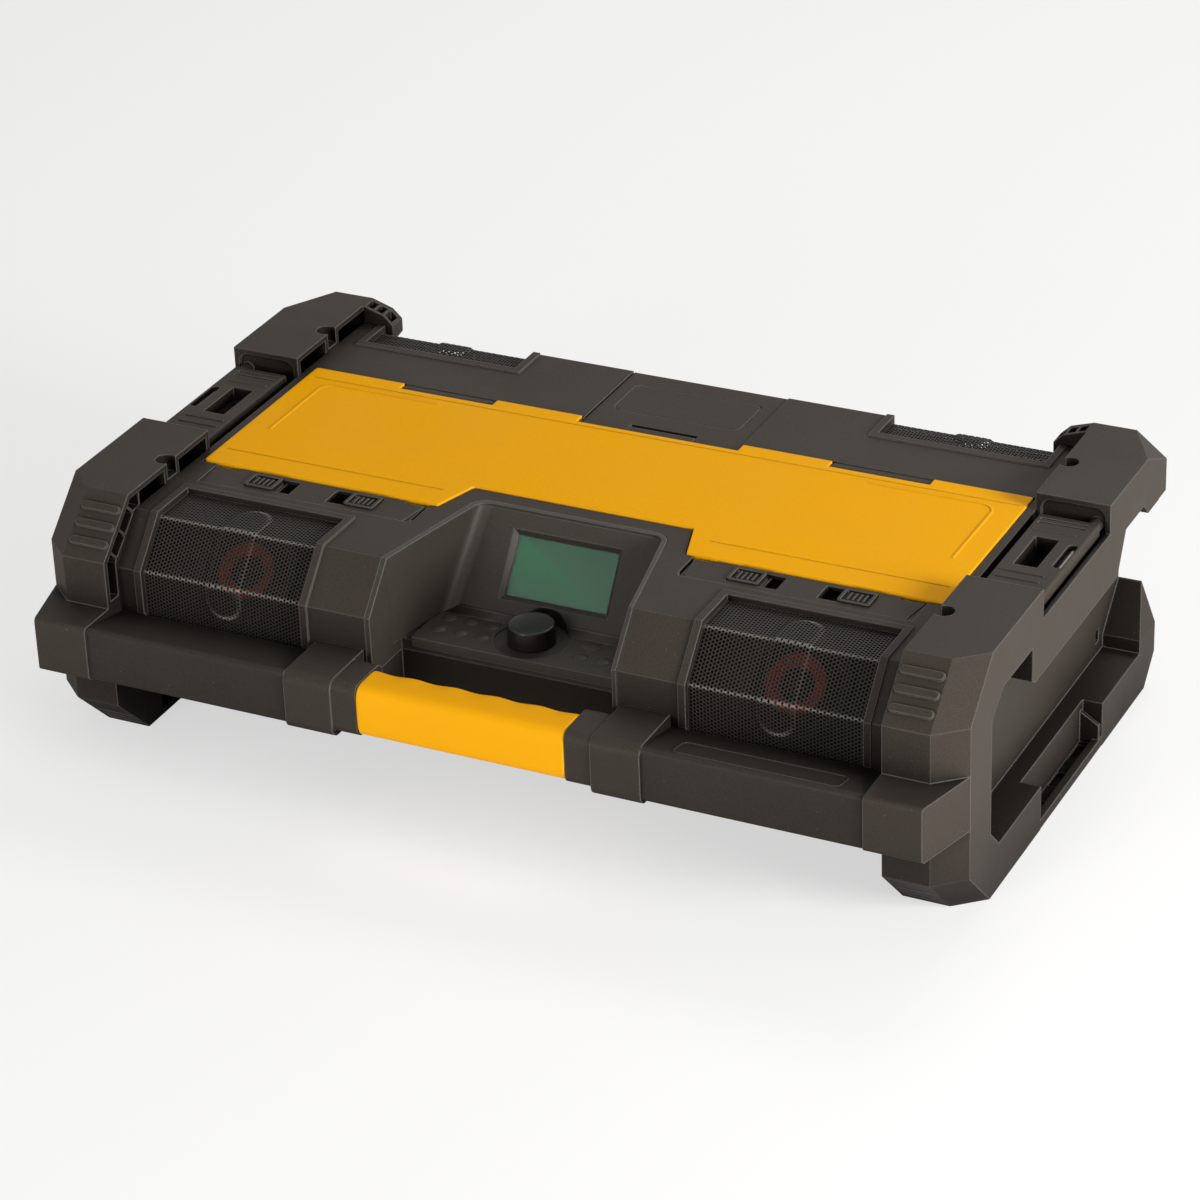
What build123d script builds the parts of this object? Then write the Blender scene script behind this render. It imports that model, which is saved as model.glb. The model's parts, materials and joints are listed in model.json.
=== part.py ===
from build123d import *
import math
import os

# Jobsite radio with a storage lid, built as a stackable case.
# Frame: millimetres, +Z up, origin on the floor under the middle of the footprint, handle towards -Y.
# Depths (d) are counted backwards from the front of the handle, heights from the floor.

# ---- driving dimensions -------------------------------------------------------------------------
WIDTH = 610.0
DEPTH = 376.0
HEIGHT = 164.0
wall = 3.0
seam = 0.3                  # gap between neighbouring mouldings
running = 0.05              # radial clearance of a pin in its bore

# end frames: the bumpers, the feet and the ends of the front bar
frame_width = 48.0
frame_skin = 3.6
bumper_face_d = 62.0        # where the top of the front bumper ends
frame_front_d = 28.2        # upright front of the frame
bumper_face_drop = 31.8
corner_x_cut = 18.2
corner_d_cut = 16.0
foot_cut = 32.0
front_bumper_back_d = 158.7
rear_bumper_front_d = DEPTH - 103.0
rear_chamfer_d = 36.0
rear_chamfer_x = 20.0
rear_chamfer_drop = 16.0
heel_height = 38.0          # depth of the block under the back of the rear bumper
foot_back_d = DEPTH - 13.0
foot_rear_cut = 18.0
shoulder_low = 8.8          # step in front of the shoulder
shoulder_rise = 27.2
shoulder_inset = 9.6        # the crest of the shoulder from the outer face
side_pocket_depth = 25.0
pocket_front_d = 77.0
pocket_floor_z = 30.0
pocket_step_d = 142.0
pocket_high_z = HEIGHT - 31.0
pocket_low_z = HEIGHT - 56.0
pocket_top_z = HEIGHT - 30.0
pocket_rise_d = DEPTH - 88.0
pocket_rise_run = 14.0
pocket_back_d = DEPTH - 41.0
hook_recess = 13.0
hook_front_d = 160.0
hook_back_d = DEPTH - 109.0
gusset_d = hook_back_d - 5.0
hook_rail_height = 6.0
hook_rail_width = 5.0
gusset_t = 3.0
gusset_top_z = (25.0, 16.5)  # at the inner panel and at the rail
hook_web = 2.5
web_slot_length = 17.0
web_slot_count = 3
drain_slot = (322.0, 328.0)  # slot in the inner panel of the side pocket
drain_slot_z = (38.0, 47.0)
foot_groove_x = (259.5, 284.0)
foot_groove_width = 1.8
foot_groove_pitch = 5.2
foot_groove_count = 3
wrap_inner_x = 235.0        # the rear bumper wraps behind the shell up to here
wrap_corner = (241.6, HEIGHT - 4.9)
wrap_shoulder_z = HEIGHT - 11.2
wrap_bottom_z = HEIGHT - 24.2
wrap_rib = 1.6
wrap_rib_count = 3
panel_sink = 2.0            # recess in the front face of the rear bumper
panel_edge = 3.4
slope_room_depth = 9.0      # open room behind the sloping face
slope_room_reach = 14.0
slope_rib_count = 3
notch_r = 6.5
notch_front_d = 113.0
notch_back_d = DEPTH - 57.0
notch_depth = 11.0
rib_count = 3
rib_length = 27.0
rib_height = 5.0
rib_proud = 1.6

# front bar
bar_top_z = 100.7
bar_bottom_z = 64.5
bar_end_x = 293.2
bar_flare_d = 45.0
rail_inner_x = 118.0
rail_fall = 8.0
sleeve_inner_x = 86.0
rail_inset = 1.5            # the rail lies this far behind the bar ends
rail_edge_r = 3.0
sleeve_proud = 3.2
sleeve_edge_r = 7.0
collar_edge_r = 6.0
collar_step = 0.8           # the collars are this much smaller than the sleeves
grip_half = 69.0
grip_depth = 29.0
grip_edge_r = 6.5
core_depth = 22.0
core_height = 29.0
core_edge_r = 6.0

# body shell
shell_half = 256.7         # leaves one seam to the end frames
deck_z = HEIGHT - 12.5
pod_front_d = 43.0
pod_top_d = 68.6
pod_slope_z = HEIGHT - 41.3
back_d = DEPTH - 15.0
tub_back_d = back_d - 16.0   # front and rear grilles
split_drop = 67.5           # split between the housing and the tub, below the deck
split_z = deck_z - split_drop
tub_floor_z = 14.0
tub_front_d = 88.0
grille_inner_x = 128.5
grille_outer_x = 240.0
grille_sheet = 1.2
grille_top_d = 103.0
grille_bottom_z = 89.0
rear_grille_d = back_d - 26.5
rear_grille_bottom_z = 88.0
rim_width = 5.0             # raised rim round the grille openings
rim_proud = 1.2
rim_bottom_z = 94.0

# speaker drivers
driver_x = 184.3
driver_d = 76.4             # middle of the driver on the face of its baffle
driver_drop = 33.8          # middle of the driver below the deck
driver_z = deck_z - driver_drop
driver_r = 34.0
ring_r = 19.0
dust_r = 10.5
magnet_r = 22.0
magnet_length = 16.0

# storage lid and its opening
lid_half = 250.5
lid_top_z = deck_z + 1.0
lid_plate = 3.1
lid_corner_r = 2.0
lid_front_d = 141.5
lid_back_d = back_d - 74.2
hinge_d = lid_back_d - 3.8
notch_half_front = 84.4
notch_half_back = 75.0
notch_deep_d = 172.5
lid_gap = 0.9               # open seam all round the lid
lid_rest_gap = 0.4          # between the lid and the floor of its recess
lid_middle_half = 56.5      # the rear edge steps forward here, in front of the door
lid_middle_d = lid_back_d - 8.6
tab_inner = 118.0           # housing knuckle between the barrels of the lid
tab_outer = 184.5
tab_front_d = lid_back_d - 6.8
hinge_drop = 4.6   # hinge axis below the top of the lid
barrel_r = 3.6
lid_pin_r = 1.5
lid_swing_deg = 95.0
hinge_beam_front_d = lid_back_d - 12.8
hinge_beam_back_d = lid_back_d + 5.2
recess_floor = 4.0
collar_z = deck_z - 14.5   # underside of the collar round the opening
opening_half = 236.0
opening_front_d = 152.0
opening_back_d = lid_back_d - 16.8
opening_notch_half = 88.0
opening_notch_d = 180.0
opening_notch_run = 8.0
skirt_drop = 5.0
skirt_wall = 2.2
skirt_gap = 0.8
tray_wall = 2.2
tray_flange = 5.0
tray_floor_z = 78.0
seal_width = 3.0
seal_inset = 3.5
seal_depth = 2.0
groove_half = 246.0
groove_front_d = 160.0
groove_back_d = lid_back_d - 13.8
groove_width = 1.2
groove_depth = 0.5
ridge_x = 234.5             # raised line near each end of the lid, curving into one along the rear edge
ridge_width = 1.4
ridge_proud = 0.4
ridge_r = 10.0
ridge_front_d = 195.0
ridge_back_d = lid_back_d - 19.0
ridge_inner_x = 150.0

# latch strips and slide latches
strip_inner_x = 91.0
strip_outer_x = 240.0
strip_front_d = 116.0
strip_plate = 2.4
strip_slant = 4.0
slot_inner = (119.0, 152.0)
slot_outer = (178.0, 211.0)
slot_front_d = 120.6
slot_width = 16.4
thumb_length = 20.5
thumb_clearance = 0.3
thumb_proud = 1.3
thumb_frame = 2.0
latch_flange = 2.0
latch_flange_t = 2.8
bolt_width = 2.4
bolt_gap = 0.6              # the bolt stops this short of the lug
bolt_drop = 1.2             # the bolt lies this much lower than the flange
lug_inner = (90.6, 103.6)
lug_outer = (224.6, 238.2)
lug_length = 5.5
lug_thickness = 3.0
lug_clearance = 1.2
front_band_z = deck_z - 10.0   # underside of the thick band under the strips

# centre door over the battery bay
door_half = 54.4
door_front_d = lid_middle_d + 2.8
door_plate = 2.6
door_top_z = deck_z - 0.8
door_gap = 0.8
door_axis_d = back_d - 7.5
door_axis_drop = 8.6
door_pin_r = 1.5
door_barrel_r = 4.2
door_barrel_half = 35.7
door_knuckle_outer = 50.0
door_foot = 3.5
door_foot_drop = 24.0
door_panel_half = 44.9
door_panel_d = (door_front_d + 26.0, door_front_d + 65.0)
catch_half = 22.9
catch_depth = 6.0
catch_notch_half = 23.4
catch_notch_d = door_front_d + 10.0
catch_tongue = 2.5
catch_tongue_t = 0.8
bay_frame_top_z = deck_z - 6.3
bay_frame_t = 3.2
bay_half = 47.0
bay_front_d = door_front_d + 14.0
bay_back_d = back_d - 17.0
bay_wall = 2.2
bay_floor_z = 66.0

# console
console_half_front = 80.5
console_half_mid = 72.3
console_half_back = 61.7
console_mid_d = 109.0
console_back_d = 157.5
console_corner_r = 9.0
ledge_drop = 57.5           # ledge of the console below the deck
ledge_z = deck_z - ledge_drop
ledge_front_d = 80.0
panel_foot_d = 119.5
panel_angle = 55.4
keypad_half = 73.0
keypad_plate_t = 2.5
keypad_apron = 6.5
keypad_back_d = 115.0
window_half = 33.9
window_length = 37.4
window_rise = 34.4          # middle of the window up the panel
window_bevel = 3.5
window_plate = 2.0
window_overlap = 2.0
module_depth = 6.0

# controls
knob_x = -3.2
knob_d = 103.5
knob_r = 15.0
knob_height = 11.6
knob_lift = 0.4
knob_edge_r = 1.4
knob_well_r = 23.5
knob_well_depth = 1.2
shaft_r = 3.0
shaft_depth = 9.0
encoder_size = 14.0
encoder_height = 6.5
key_pitch = 15.0
key_rows = (95.0, 109.5)
key_left_x = -62.5
key_right_x = 34.0
key_r = 3.4
key_clearance = 0.3
key_flange = 1.4
key_flange_t = 1.0
key_window_edge = 6.5
key_proud = 0.9
key_travel = 0.8
oval_key_half = 6.0

# folding side latches
arm_inner_x = 262.0
arm_outer_x = 300.6
arm_front_d = front_bumper_back_d + 0.9
arm_back_d = rear_bumper_front_d - 7.5
arm_top_z = HEIGHT - 10.0
arm_thickness = 9.0
arm_edge_r = 1.5
arm_middle_d = (arm_front_d + arm_back_d) / 2
arm_window_x = (270.5, 285.5)
arm_window_d = (arm_middle_d - 13.05, arm_middle_d + 24.95)
arm_axis_x = 296.0
arm_axis_drop = 4.5
arm_pin_r = 2.0
arm_slot_d = (arm_middle_d - 8.95, arm_middle_d + 21.95)
arm_slot_r = 3.0
arm_groove_width = 2.0
arm_groove = 1.2
arm_groove_places = (4.0, 9.0)  # from each end
arm_bed_z = HEIGHT - 26.0
arm_wall_top_z = HEIGHT - 19.5
arm_wall = 3.0
arm_end_gap = 0.9
pivot_boss_r = 4.2

# inside
baffle_t = 3.0
supply_x = (120.0, 215.0)
supply_d = (170.0, 240.0)
supply_height = 40.0
sink_x = (-205.0, -125.0)
sink_d = (175.0, 235.0)
sink_plate = 6.0
fin_count = 8
fin_inset = 3.0
fin_pitch = 10.6
fin_t = 2.0
fin_height = 30.0
baffle_inner_x = 90.0
grille_overlap = 4.0
driver_flange_t = 2.5
driver_hole_r = 30.0
rear_web_d = back_d - 18.0
rear_driver_z = 116.0
rear_cone_r = 20.0
board_t = 1.6
board_z = 34.0
board_boss_r = 3.5
boss_r = 4.5
boss_x = 249.2
boss_depths = (130.0, back_d - 61.0)
screw_r = 1.9
screw_head_r = 3.6
screw_head_h = 2.6
screw_length = 22.0
screw_clearance = 0.05
frame_screw_places = ((100.0, 60.0), (back_d - 41.0, 60.0), (back_d - 41.0, deck_z - 27.5))


# ---- small helpers ------------------------------------------------------------------------------
def at(depth):
    """Model Y of a depth behind the front of the handle."""
    return depth - DEPTH / 2


def block(x0, x1, d0, d1, z0, z1):
    """Block between two x values, two depths and two heights."""
    centre = Pos((x0 + x1) / 2, at((d0 + d1) / 2), (z0 + z1) / 2)
    return centre * Box(abs(x1 - x0), d1 - d0, z1 - z0)


def side_prism(points, x0, x1):
    """Outline of (depth, height) points carried along X."""
    outline = Polygon(*[(at(d), z) for d, z in points], align=None)
    return extrude(Plane.YZ.offset(x0) * outline, x1 - x0, dir=(1, 0, 0))


def plan_prism(points, z0, z1):
    """Outline of (x, depth) points carried upwards."""
    outline = Polygon(*[(x, at(d)) for x, d in points], align=None)
    return extrude(Plane.XY.offset(z0) * outline, z1 - z0, dir=(0, 0, 1))


def rod_x(x0, x1, depth, z, radius):
    """Round bar along X."""
    return Pos((x0 + x1) / 2, at(depth), z) * Rot(0, 90, 0) * Cylinder(radius, abs(x1 - x0))


def rod_y(x, d0, d1, z, radius):
    """Round bar along Y."""
    return Pos(x, at((d0 + d1) / 2), z) * Rot(90, 0, 0) * Cylinder(radius, d1 - d0)


def rod_z(x, depth, z0, z1, radius):
    """Round bar along Z."""
    return Pos(x, at(depth), (z0 + z1) / 2) * Cylinder(radius, z1 - z0)


def other_side(shape):
    """The same piece on the left side."""
    return mirror(shape, about=Plane.YZ)


def both_sides(shape):
    """A piece made symmetrical about the middle plane."""
    return shape + other_side(shape)


nodes = {}


def keep(name, shape):
    """Store a finished piece under its node name."""
    nodes[name] = shape


def keep_pair(name, right):
    """Store a right-hand piece and its left-hand twin."""
    keep(name + "_right", right)
    keep(name + "_left", other_side(right))


# ---- derived places -----------------------------------------------------------------------------
frame_outer = WIDTH / 2
frame_inner = frame_outer - frame_width
corner_x = frame_outer - corner_x_cut
ring_z = HEIGHT - bumper_face_drop
pocket_x = frame_outer - side_pocket_depth
arm_axis_z = arm_top_z - arm_axis_drop
pin_front_d = front_bumper_back_d - frame_skin + 0.6
pin_back_d = rear_bumper_front_d + frame_skin - 0.6
hinge_z = lid_top_z - hinge_drop
lid_under_z = lid_top_z - lid_plate
recess_z = lid_under_z - lid_rest_gap
lid_sweep_r = math.hypot(lid_back_d - hinge_d, hinge_drop)
lid_open = math.radians(lid_swing_deg)
lid_open_reach = (hinge_drop - (deck_z - hinge_z) * math.cos(lid_open)) / math.sin(lid_open)
door_axis_z = door_top_z - door_axis_drop
door_under_z = door_top_z - door_plate
door_sweep_r = math.hypot(back_d - door_axis_d, door_axis_drop)
catch_tongue_z = (door_under_z + door_top_z - catch_tongue_t) / 2
strip_back_d = lid_front_d - lid_gap - seam
strip_under_z = deck_z - strip_plate
flange_top_z = strip_under_z - thumb_clearance
flange_under_z = flange_top_z - latch_flange_t
channel_z = flange_under_z - bolt_drop - thumb_clearance
slot_back_d = slot_front_d + slot_width
sheet_face = wall                       # the grille sheets lie against the inside of the wall
bar_middle_z = (bar_bottom_z + bar_top_z) / 2
keypad_seat_z = ledge_z - keypad_plate_t
ledge_under_z = keypad_seat_z - wall
inner_side_x = shell_half - wall
tub_inside_z = tub_floor_z + wall


# ---- end frames ---------------------------------------------------------------------------------
def corner_cut(d, z0, z1, lean):
    """Prism that bevels the front outer corner; lean is how far it runs back on its way up."""
    foot = Polygon(
        (corner_x, at(d)), (frame_outer + 1, at(d) + corner_d_cut * (corner_x_cut + 1) / corner_x_cut),
        (frame_outer + 1, at(d) - 1), (corner_x, at(d) - 1), align=None)
    length = math.hypot(lean, z1 - z0)
    return extrude(Plane.XY.offset(z0) * foot, length, dir=(0, lean, z1 - z0))


def frame_block():
    """Outer form of the right-hand frame with its bevels."""
    face_run = bumper_face_d - frame_front_d
    frame = side_prism([
        (bumper_face_d, HEIGHT), (frame_front_d, ring_z), (frame_front_d, foot_cut),
        (frame_front_d + foot_cut, 0), (foot_back_d - foot_rear_cut, 0), (foot_back_d, foot_rear_cut),
        (foot_back_d, HEIGHT - heel_height), (DEPTH, HEIGHT - heel_height), (DEPTH, HEIGHT)],
        frame_inner, frame_outer)
    above = (bumper_face_drop + 1) / bumper_face_drop
    frame -= corner_cut(frame_front_d, foot_cut, ring_z, 0)
    frame -= corner_cut(frame_front_d, ring_z, HEIGHT + 1, face_run * above)
    frame -= corner_cut(frame_front_d, foot_cut, -1, foot_cut + 1)
    bar_end = plan_prism([
        (frame_inner, 0), (bar_end_x, 0), (frame_outer, bar_flare_d),
        (frame_outer, bar_flare_d + 10), (frame_inner, bar_flare_d + 10)], bar_bottom_z, bar_top_z)
    frame += fillet(bar_end.edges().filter_by(Axis.X).sort_by(Axis.Y)[:2], 3.0)
    facet = Polyline(
        (frame_outer - rear_chamfer_x, at(DEPTH), HEIGHT),
        (frame_outer, at(DEPTH - rear_chamfer_d), HEIGHT),
        (frame_outer, at(DEPTH), HEIGHT - rear_chamfer_drop), close=True)
    return frame - extrude(make_face(facet), rear_chamfer_d, dir=(1, 1, 1))


def slope_room():
    """Ribbed room behind the sloping face of the bumper, open towards the pod."""
    face_run = bumper_face_d - frame_front_d
    length = math.hypot(face_run, bumper_face_drop)
    along = (face_run / length, bumper_face_drop / length)
    inward = (along[1], -along[0])

    def spot(run, depth):
        return (frame_front_d + along[0] * run + inward[0] * depth,
                ring_z + along[1] * run + inward[1] * depth)

    front, deep = frame_front_d + frame_skin, frame_front_d + frame_skin + slope_room_depth
    inner = frame_skin + slope_room_depth
    outer_start = (front - frame_front_d - inward[0] * frame_skin) / along[0]
    inner_start = (deep - frame_front_d - inward[0] * inner) / along[0]
    top_z = HEIGHT - frame_skin
    outer_end = (top_z - ring_z - inward[1] * frame_skin) / along[1]
    inner_end = (top_z - slope_room_depth - ring_z - inward[1] * inner) / along[1]
    end_d = bumper_face_d + 3 * frame_skin
    low_z = bar_top_z + frame_skin
    room = side_prism([
        (front, low_z), spot(outer_start, frame_skin), spot(outer_end, frame_skin), (end_d, top_z),
        (end_d, top_z - slope_room_depth), spot(inner_end, inner), spot(inner_start, inner), (deep, low_z)],
        frame_inner - 1, frame_inner + slope_room_reach)
    for i in range(slope_rib_count):
        run = length * (i + 0.5) / slope_rib_count
        rib = side_prism([spot(run, 0), spot(run + wrap_rib, 0), spot(run + wrap_rib, 2 * inner),
                          spot(run, 2 * inner)],
                         frame_inner - 2, frame_inner + slope_room_reach + 1)
        room -= rib
    return room


def rear_wrap():
    """End of the rear bumper that reaches inwards behind the shell, with open pockets between ribs."""
    start, end = back_d + rim_proud + seam, DEPTH
    points = [(frame_inner + 1, wrap_bottom_z), (frame_inner + 1, HEIGHT), (frame_inner, HEIGHT),
              wrap_corner,
              (wrap_inner_x, wrap_shoulder_z), (wrap_inner_x, wrap_bottom_z + 4),
              (wrap_inner_x + 3, wrap_bottom_z)]
    outline = Polygon(*[(x, z) for x, z in points], align=None)
    wrap = extrude(Plane.XZ.offset(-at(end)) * outline, end - start)
    width = (frame_inner - wrap_inner_x - wrap_rib) / wrap_rib_count
    for i in range(wrap_rib_count):
        x = wrap_inner_x + wrap_rib + i * width
        wrap -= block(x, x + width - wrap_rib, start + wrap_rib, end - 2 * wrap_rib, wrap_bottom_z + 3,
                      HEIGHT + 1)
    return wrap


def bumper_panel():
    """Shallow recess with rounded upper corners in the front face of the rear bumper."""
    panel = block(frame_inner + panel_edge, frame_outer - panel_edge, rear_bumper_front_d - 1,
                  rear_bumper_front_d + panel_sink, arm_bed_z - 10, HEIGHT - panel_edge)
    panel = fillet(panel.edges().filter_by(Axis.Y).sort_by(Axis.Z)[-2:], 2 * panel_edge)
    return panel - block(0, WIDTH, 0, DEPTH, 0, arm_bed_z)


def rear_shoulder():
    """Block over the rear foot: a step, a slope that rises backwards and a steep outer flank."""
    step_z, crest_z = pocket_floor_z + shoulder_low, pocket_floor_z + shoulder_low + shoulder_rise
    block_side = side_prism([
        (pocket_back_d, pocket_floor_z - 1), (pocket_back_d, step_z), (foot_back_d, crest_z),
        (foot_back_d, pocket_floor_z - 1)], pocket_x - 1, frame_outer)
    crest_x = frame_outer - shoulder_inset
    flank = Polygon((pocket_x - 1, 0), (frame_outer, 0), (frame_outer, step_z), (crest_x, crest_z),
                    (pocket_x - 1, crest_z), align=None)
    return block_side & extrude(Plane.XZ * flank, DEPTH, both=True)


def side_pocket():
    """Recess in the outer face, open to the back above the rear foot."""
    heel_z = HEIGHT - heel_height - 0.5
    return side_prism([
        (pocket_front_d, pocket_floor_z + 14), (pocket_front_d, pocket_high_z - 14),
        (pocket_front_d + 18, pocket_high_z), (pocket_step_d, pocket_high_z),
        (pocket_step_d, pocket_low_z + 3), (pocket_step_d + 5, pocket_low_z),
        (pocket_rise_d, pocket_low_z), (pocket_rise_d + pocket_rise_run, pocket_top_z),
        (pocket_back_d, pocket_top_z), (pocket_back_d + 8, heel_z), (DEPTH + 1, heel_z),
        (DEPTH + 1, pocket_floor_z), (pocket_front_d + 14, pocket_floor_z)],
        pocket_x, frame_outer + 1)


def frame_hollow():
    """Rooms inside the frame, all open towards the shell."""
    start = frame_inner - 1
    rooms = block(start, pocket_x - frame_skin, pocket_front_d, foot_back_d - foot_rear_cut,
                  frame_skin, arm_bed_z - frame_skin)
    rooms += block(start, frame_outer - corner_x_cut, frame_front_d + 22, pocket_front_d - frame_skin,
                   foot_cut, ring_z - frame_skin)
    rooms += block(start, frame_outer - frame_skin, bumper_face_d + 12, front_bumper_back_d - frame_skin,
                   pocket_high_z + frame_skin, HEIGHT - frame_skin)
    rooms += block(start, frame_outer - frame_skin - rear_chamfer_x, rear_bumper_front_d + frame_skin,
                   DEPTH - 12, pocket_top_z + frame_skin, HEIGHT - frame_skin)
    return rooms


def end_frame():
    """Right-hand frame: bumper, feet and bar end in one moulding, open towards the shell."""
    frame = frame_block() - side_pocket()
    frame += rear_shoulder() + rear_wrap()
    # bed of the folding latch, and the lower recess with the rail that a case below hooks on to
    frame -= block(frame_inner - 1, frame_outer - arm_wall, front_bumper_back_d, rear_bumper_front_d,
                   arm_bed_z, HEIGHT + 1)
    frame -= block(frame_inner - 1, frame_outer + 1, front_bumper_back_d, rear_bumper_front_d,
                   arm_wall_top_z, HEIGHT + 1)
    frame -= bumper_panel()
    frame -= block(frame_outer - hook_recess, frame_outer + 1, hook_front_d, hook_back_d, -1,
                   pocket_floor_z + 1)
    frame += block(frame_outer - hook_rail_width, frame_outer, hook_front_d - 1, hook_back_d + 1,
                   0.5, 0.5 + hook_rail_height)
    # thin web between the rail and the inner wall, with slots
    frame += block(frame_outer - hook_recess - 1, frame_outer - 1, hook_front_d - 1, hook_back_d + 1,
                   0.5, 0.5 + hook_web)
    slot_pitch = (hook_back_d - hook_front_d) / web_slot_count
    for i in range(web_slot_count):
        middle = hook_front_d + (i + 0.5) * slot_pitch
        frame -= block(frame_outer - hook_recess + 1, frame_outer - hook_rail_width - 1,
                       middle - web_slot_length / 2, middle + web_slot_length / 2, 0, hook_rail_height)
    gusset = Polygon((frame_outer - hook_recess - 1, 1), (frame_outer - 0.5, 1),
                     (frame_outer - 0.5, gusset_top_z[1]),
                     (frame_outer - hook_recess - 1, gusset_top_z[0]), align=None)
    frame += extrude(Plane.XZ.offset(-at(gusset_d + gusset_t)) * gusset, gusset_t)
    frame -= frame_hollow() + slope_room()
    frame -= block(pocket_x - frame_skin - 1, pocket_x + 1, *drain_slot, *drain_slot_z)
    # grooves across the chamfer of the front foot
    for i in range(foot_groove_count):
        run = foot_groove_pitch * (i + 1)
        groove = Box(foot_groove_x[1] - foot_groove_x[0], foot_groove_width, 2 * groove_depth + 1)
        place = Pos(sum(foot_groove_x) / 2, at(frame_front_d + foot_cut - run), run)
        frame -= place * Rot(-45, 0, 0) * groove
    # bosses for the screws that come through the side of the shell
    for d, z in frame_screw_places:
        frame += rod_x(frame_inner, pocket_x - frame_skin + 0.5, d, z, boss_r)
        frame -= rod_x(frame_inner - 1, frame_inner + screw_length, d, z, screw_r + screw_clearance)
    # notches in the inner edges of the bumpers
    for d in (notch_front_d, notch_back_d):
        frame += rod_z(frame_inner + 4, d, HEIGHT - notch_depth - wall, HEIGHT, notch_r + wall) & block(
            frame_inner, frame_outer, d - 20, d + 20, 0, HEIGHT)
        frame -= rod_z(frame_inner + 4, d, HEIGHT - notch_depth, HEIGHT + 1, notch_r)
    # ribs on the sloping face
    face_run = bumper_face_d - frame_front_d
    slope = math.degrees(math.atan2(bumper_face_drop, face_run))
    for i in range(rib_count):
        step = (i + 1) / (rib_count + 1)
        rib = fillet(Box(rib_length, rib_height, 2 * rib_proud).edges().filter_by(Axis.Z), rib_height / 2.2)
        frame += Pos((frame_inner + corner_x) / 2, at(bumper_face_d - face_run * step),
                     HEIGHT - bumper_face_drop * step) * Rot(slope, 0, 0) * rib
    # pivot boss of the folding latch and the bore for its pin
    frame += rod_y(arm_axis_x, arm_back_d + arm_end_gap, rear_bumper_front_d + panel_sink, arm_axis_z,
                   pivot_boss_r)
    frame -= rod_y(arm_axis_x, pin_front_d, pin_back_d, arm_axis_z, arm_pin_r + running)
    return frame


keep_pair("end_frame", end_frame())


# ---- folding side latches -----------------------------------------------------------------------
def side_latch():
    """Right-hand arm that swings up and over to hold the case above."""
    arm = block(arm_inner_x, arm_outer_x, arm_front_d, arm_back_d, arm_top_z - arm_thickness, arm_top_z)
    arm = fillet(arm.edges().filter_by(Axis.Y), arm_edge_r)
    arm -= block(*arm_window_x, *arm_window_d, 0, HEIGHT)
    # slot with round ends that shows the pin
    low, high = arm_slot_d
    slot = block(arm_axis_x - arm_slot_r, arm_axis_x + arm_slot_r, low, high, arm_axis_z, HEIGHT)
    arm -= fillet(slot.edges().filter_by(Axis.Z), arm_slot_r - seam)
    arm -= rod_y(arm_axis_x, arm_front_d - 1, arm_back_d + 1, arm_axis_z, arm_pin_r + running)
    for place in arm_groove_places:
        for d in (arm_front_d + place, arm_back_d - place - arm_groove_width):
            arm -= block(arm_inner_x + 3, arm_axis_x - 1, d, d + arm_groove_width, arm_top_z - arm_groove,
                         HEIGHT)
    return arm


keep_pair("side_latch", side_latch())
latch_pin = rod_y(arm_axis_x, pin_front_d, pin_back_d, arm_axis_z, arm_pin_r)
keep("side_latch_pins", Compound([latch_pin, other_side(latch_pin)]))


# ---- body shell ---------------------------------------------------------------------------------
def mirrored(half):
    """Closed outline from its right-hand half, which starts and ends on the middle plane."""
    return half + [(-x, d) for x, d in reversed(half[1:-1])]


def lid_outline(grow):
    """Plan of the lid, or with grow of the recess that it lies in: notch in front, tabs behind."""
    middle = lid_middle_half - grow
    return mirrored([
        (0, notch_deep_d - grow), (notch_half_back - grow, notch_deep_d - grow),
        (notch_half_front - grow, lid_front_d - grow), (lid_half + grow, lid_front_d - grow),
        (lid_half + grow, lid_back_d + grow), (tab_outer + lid_gap - grow, lid_back_d + grow),
        (tab_outer + lid_gap - grow, tab_front_d - lid_gap + grow),
        (tab_inner - lid_gap + grow, tab_front_d - lid_gap + grow),
        (tab_inner - lid_gap + grow, lid_back_d + grow), (middle, lid_back_d + grow),
        (middle, lid_middle_d + grow), (0, lid_middle_d + grow)])


def opening_outline(grow):
    """Plan of the storage opening, grown outwards by an even amount."""
    half_notch = opening_notch_half - grow
    return mirrored([
        (0, opening_notch_d - grow), (half_notch, opening_notch_d - grow),
        (half_notch + opening_notch_run, opening_front_d - grow),
        (opening_half + grow, opening_front_d - grow),
        (opening_half + grow, opening_back_d + grow), (0, opening_back_d + grow)])


def ring(inner, outer, z0, z1):
    """Even band round the storage opening."""
    return plan_prism(opening_outline(outer), z0, z1) - plan_prism(opening_outline(inner), z0 - 1, z1 + 1)


def shell_profile(inset, low_z):
    """Side outline of the upper body, moved inwards by an even amount."""
    lean = math.atan2(deck_z - pod_slope_z, pod_top_d - pod_front_d)
    low_corner = inset * math.tan(math.pi / 4 - lean / 2)
    high_corner = inset * math.tan(lean / 2)
    return [(pod_front_d + inset, low_z), (pod_front_d + inset, pod_slope_z - low_corner),
            (pod_top_d + high_corner, deck_z - inset), (back_d - inset, deck_z - inset),
            (back_d - inset, low_z)]


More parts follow.
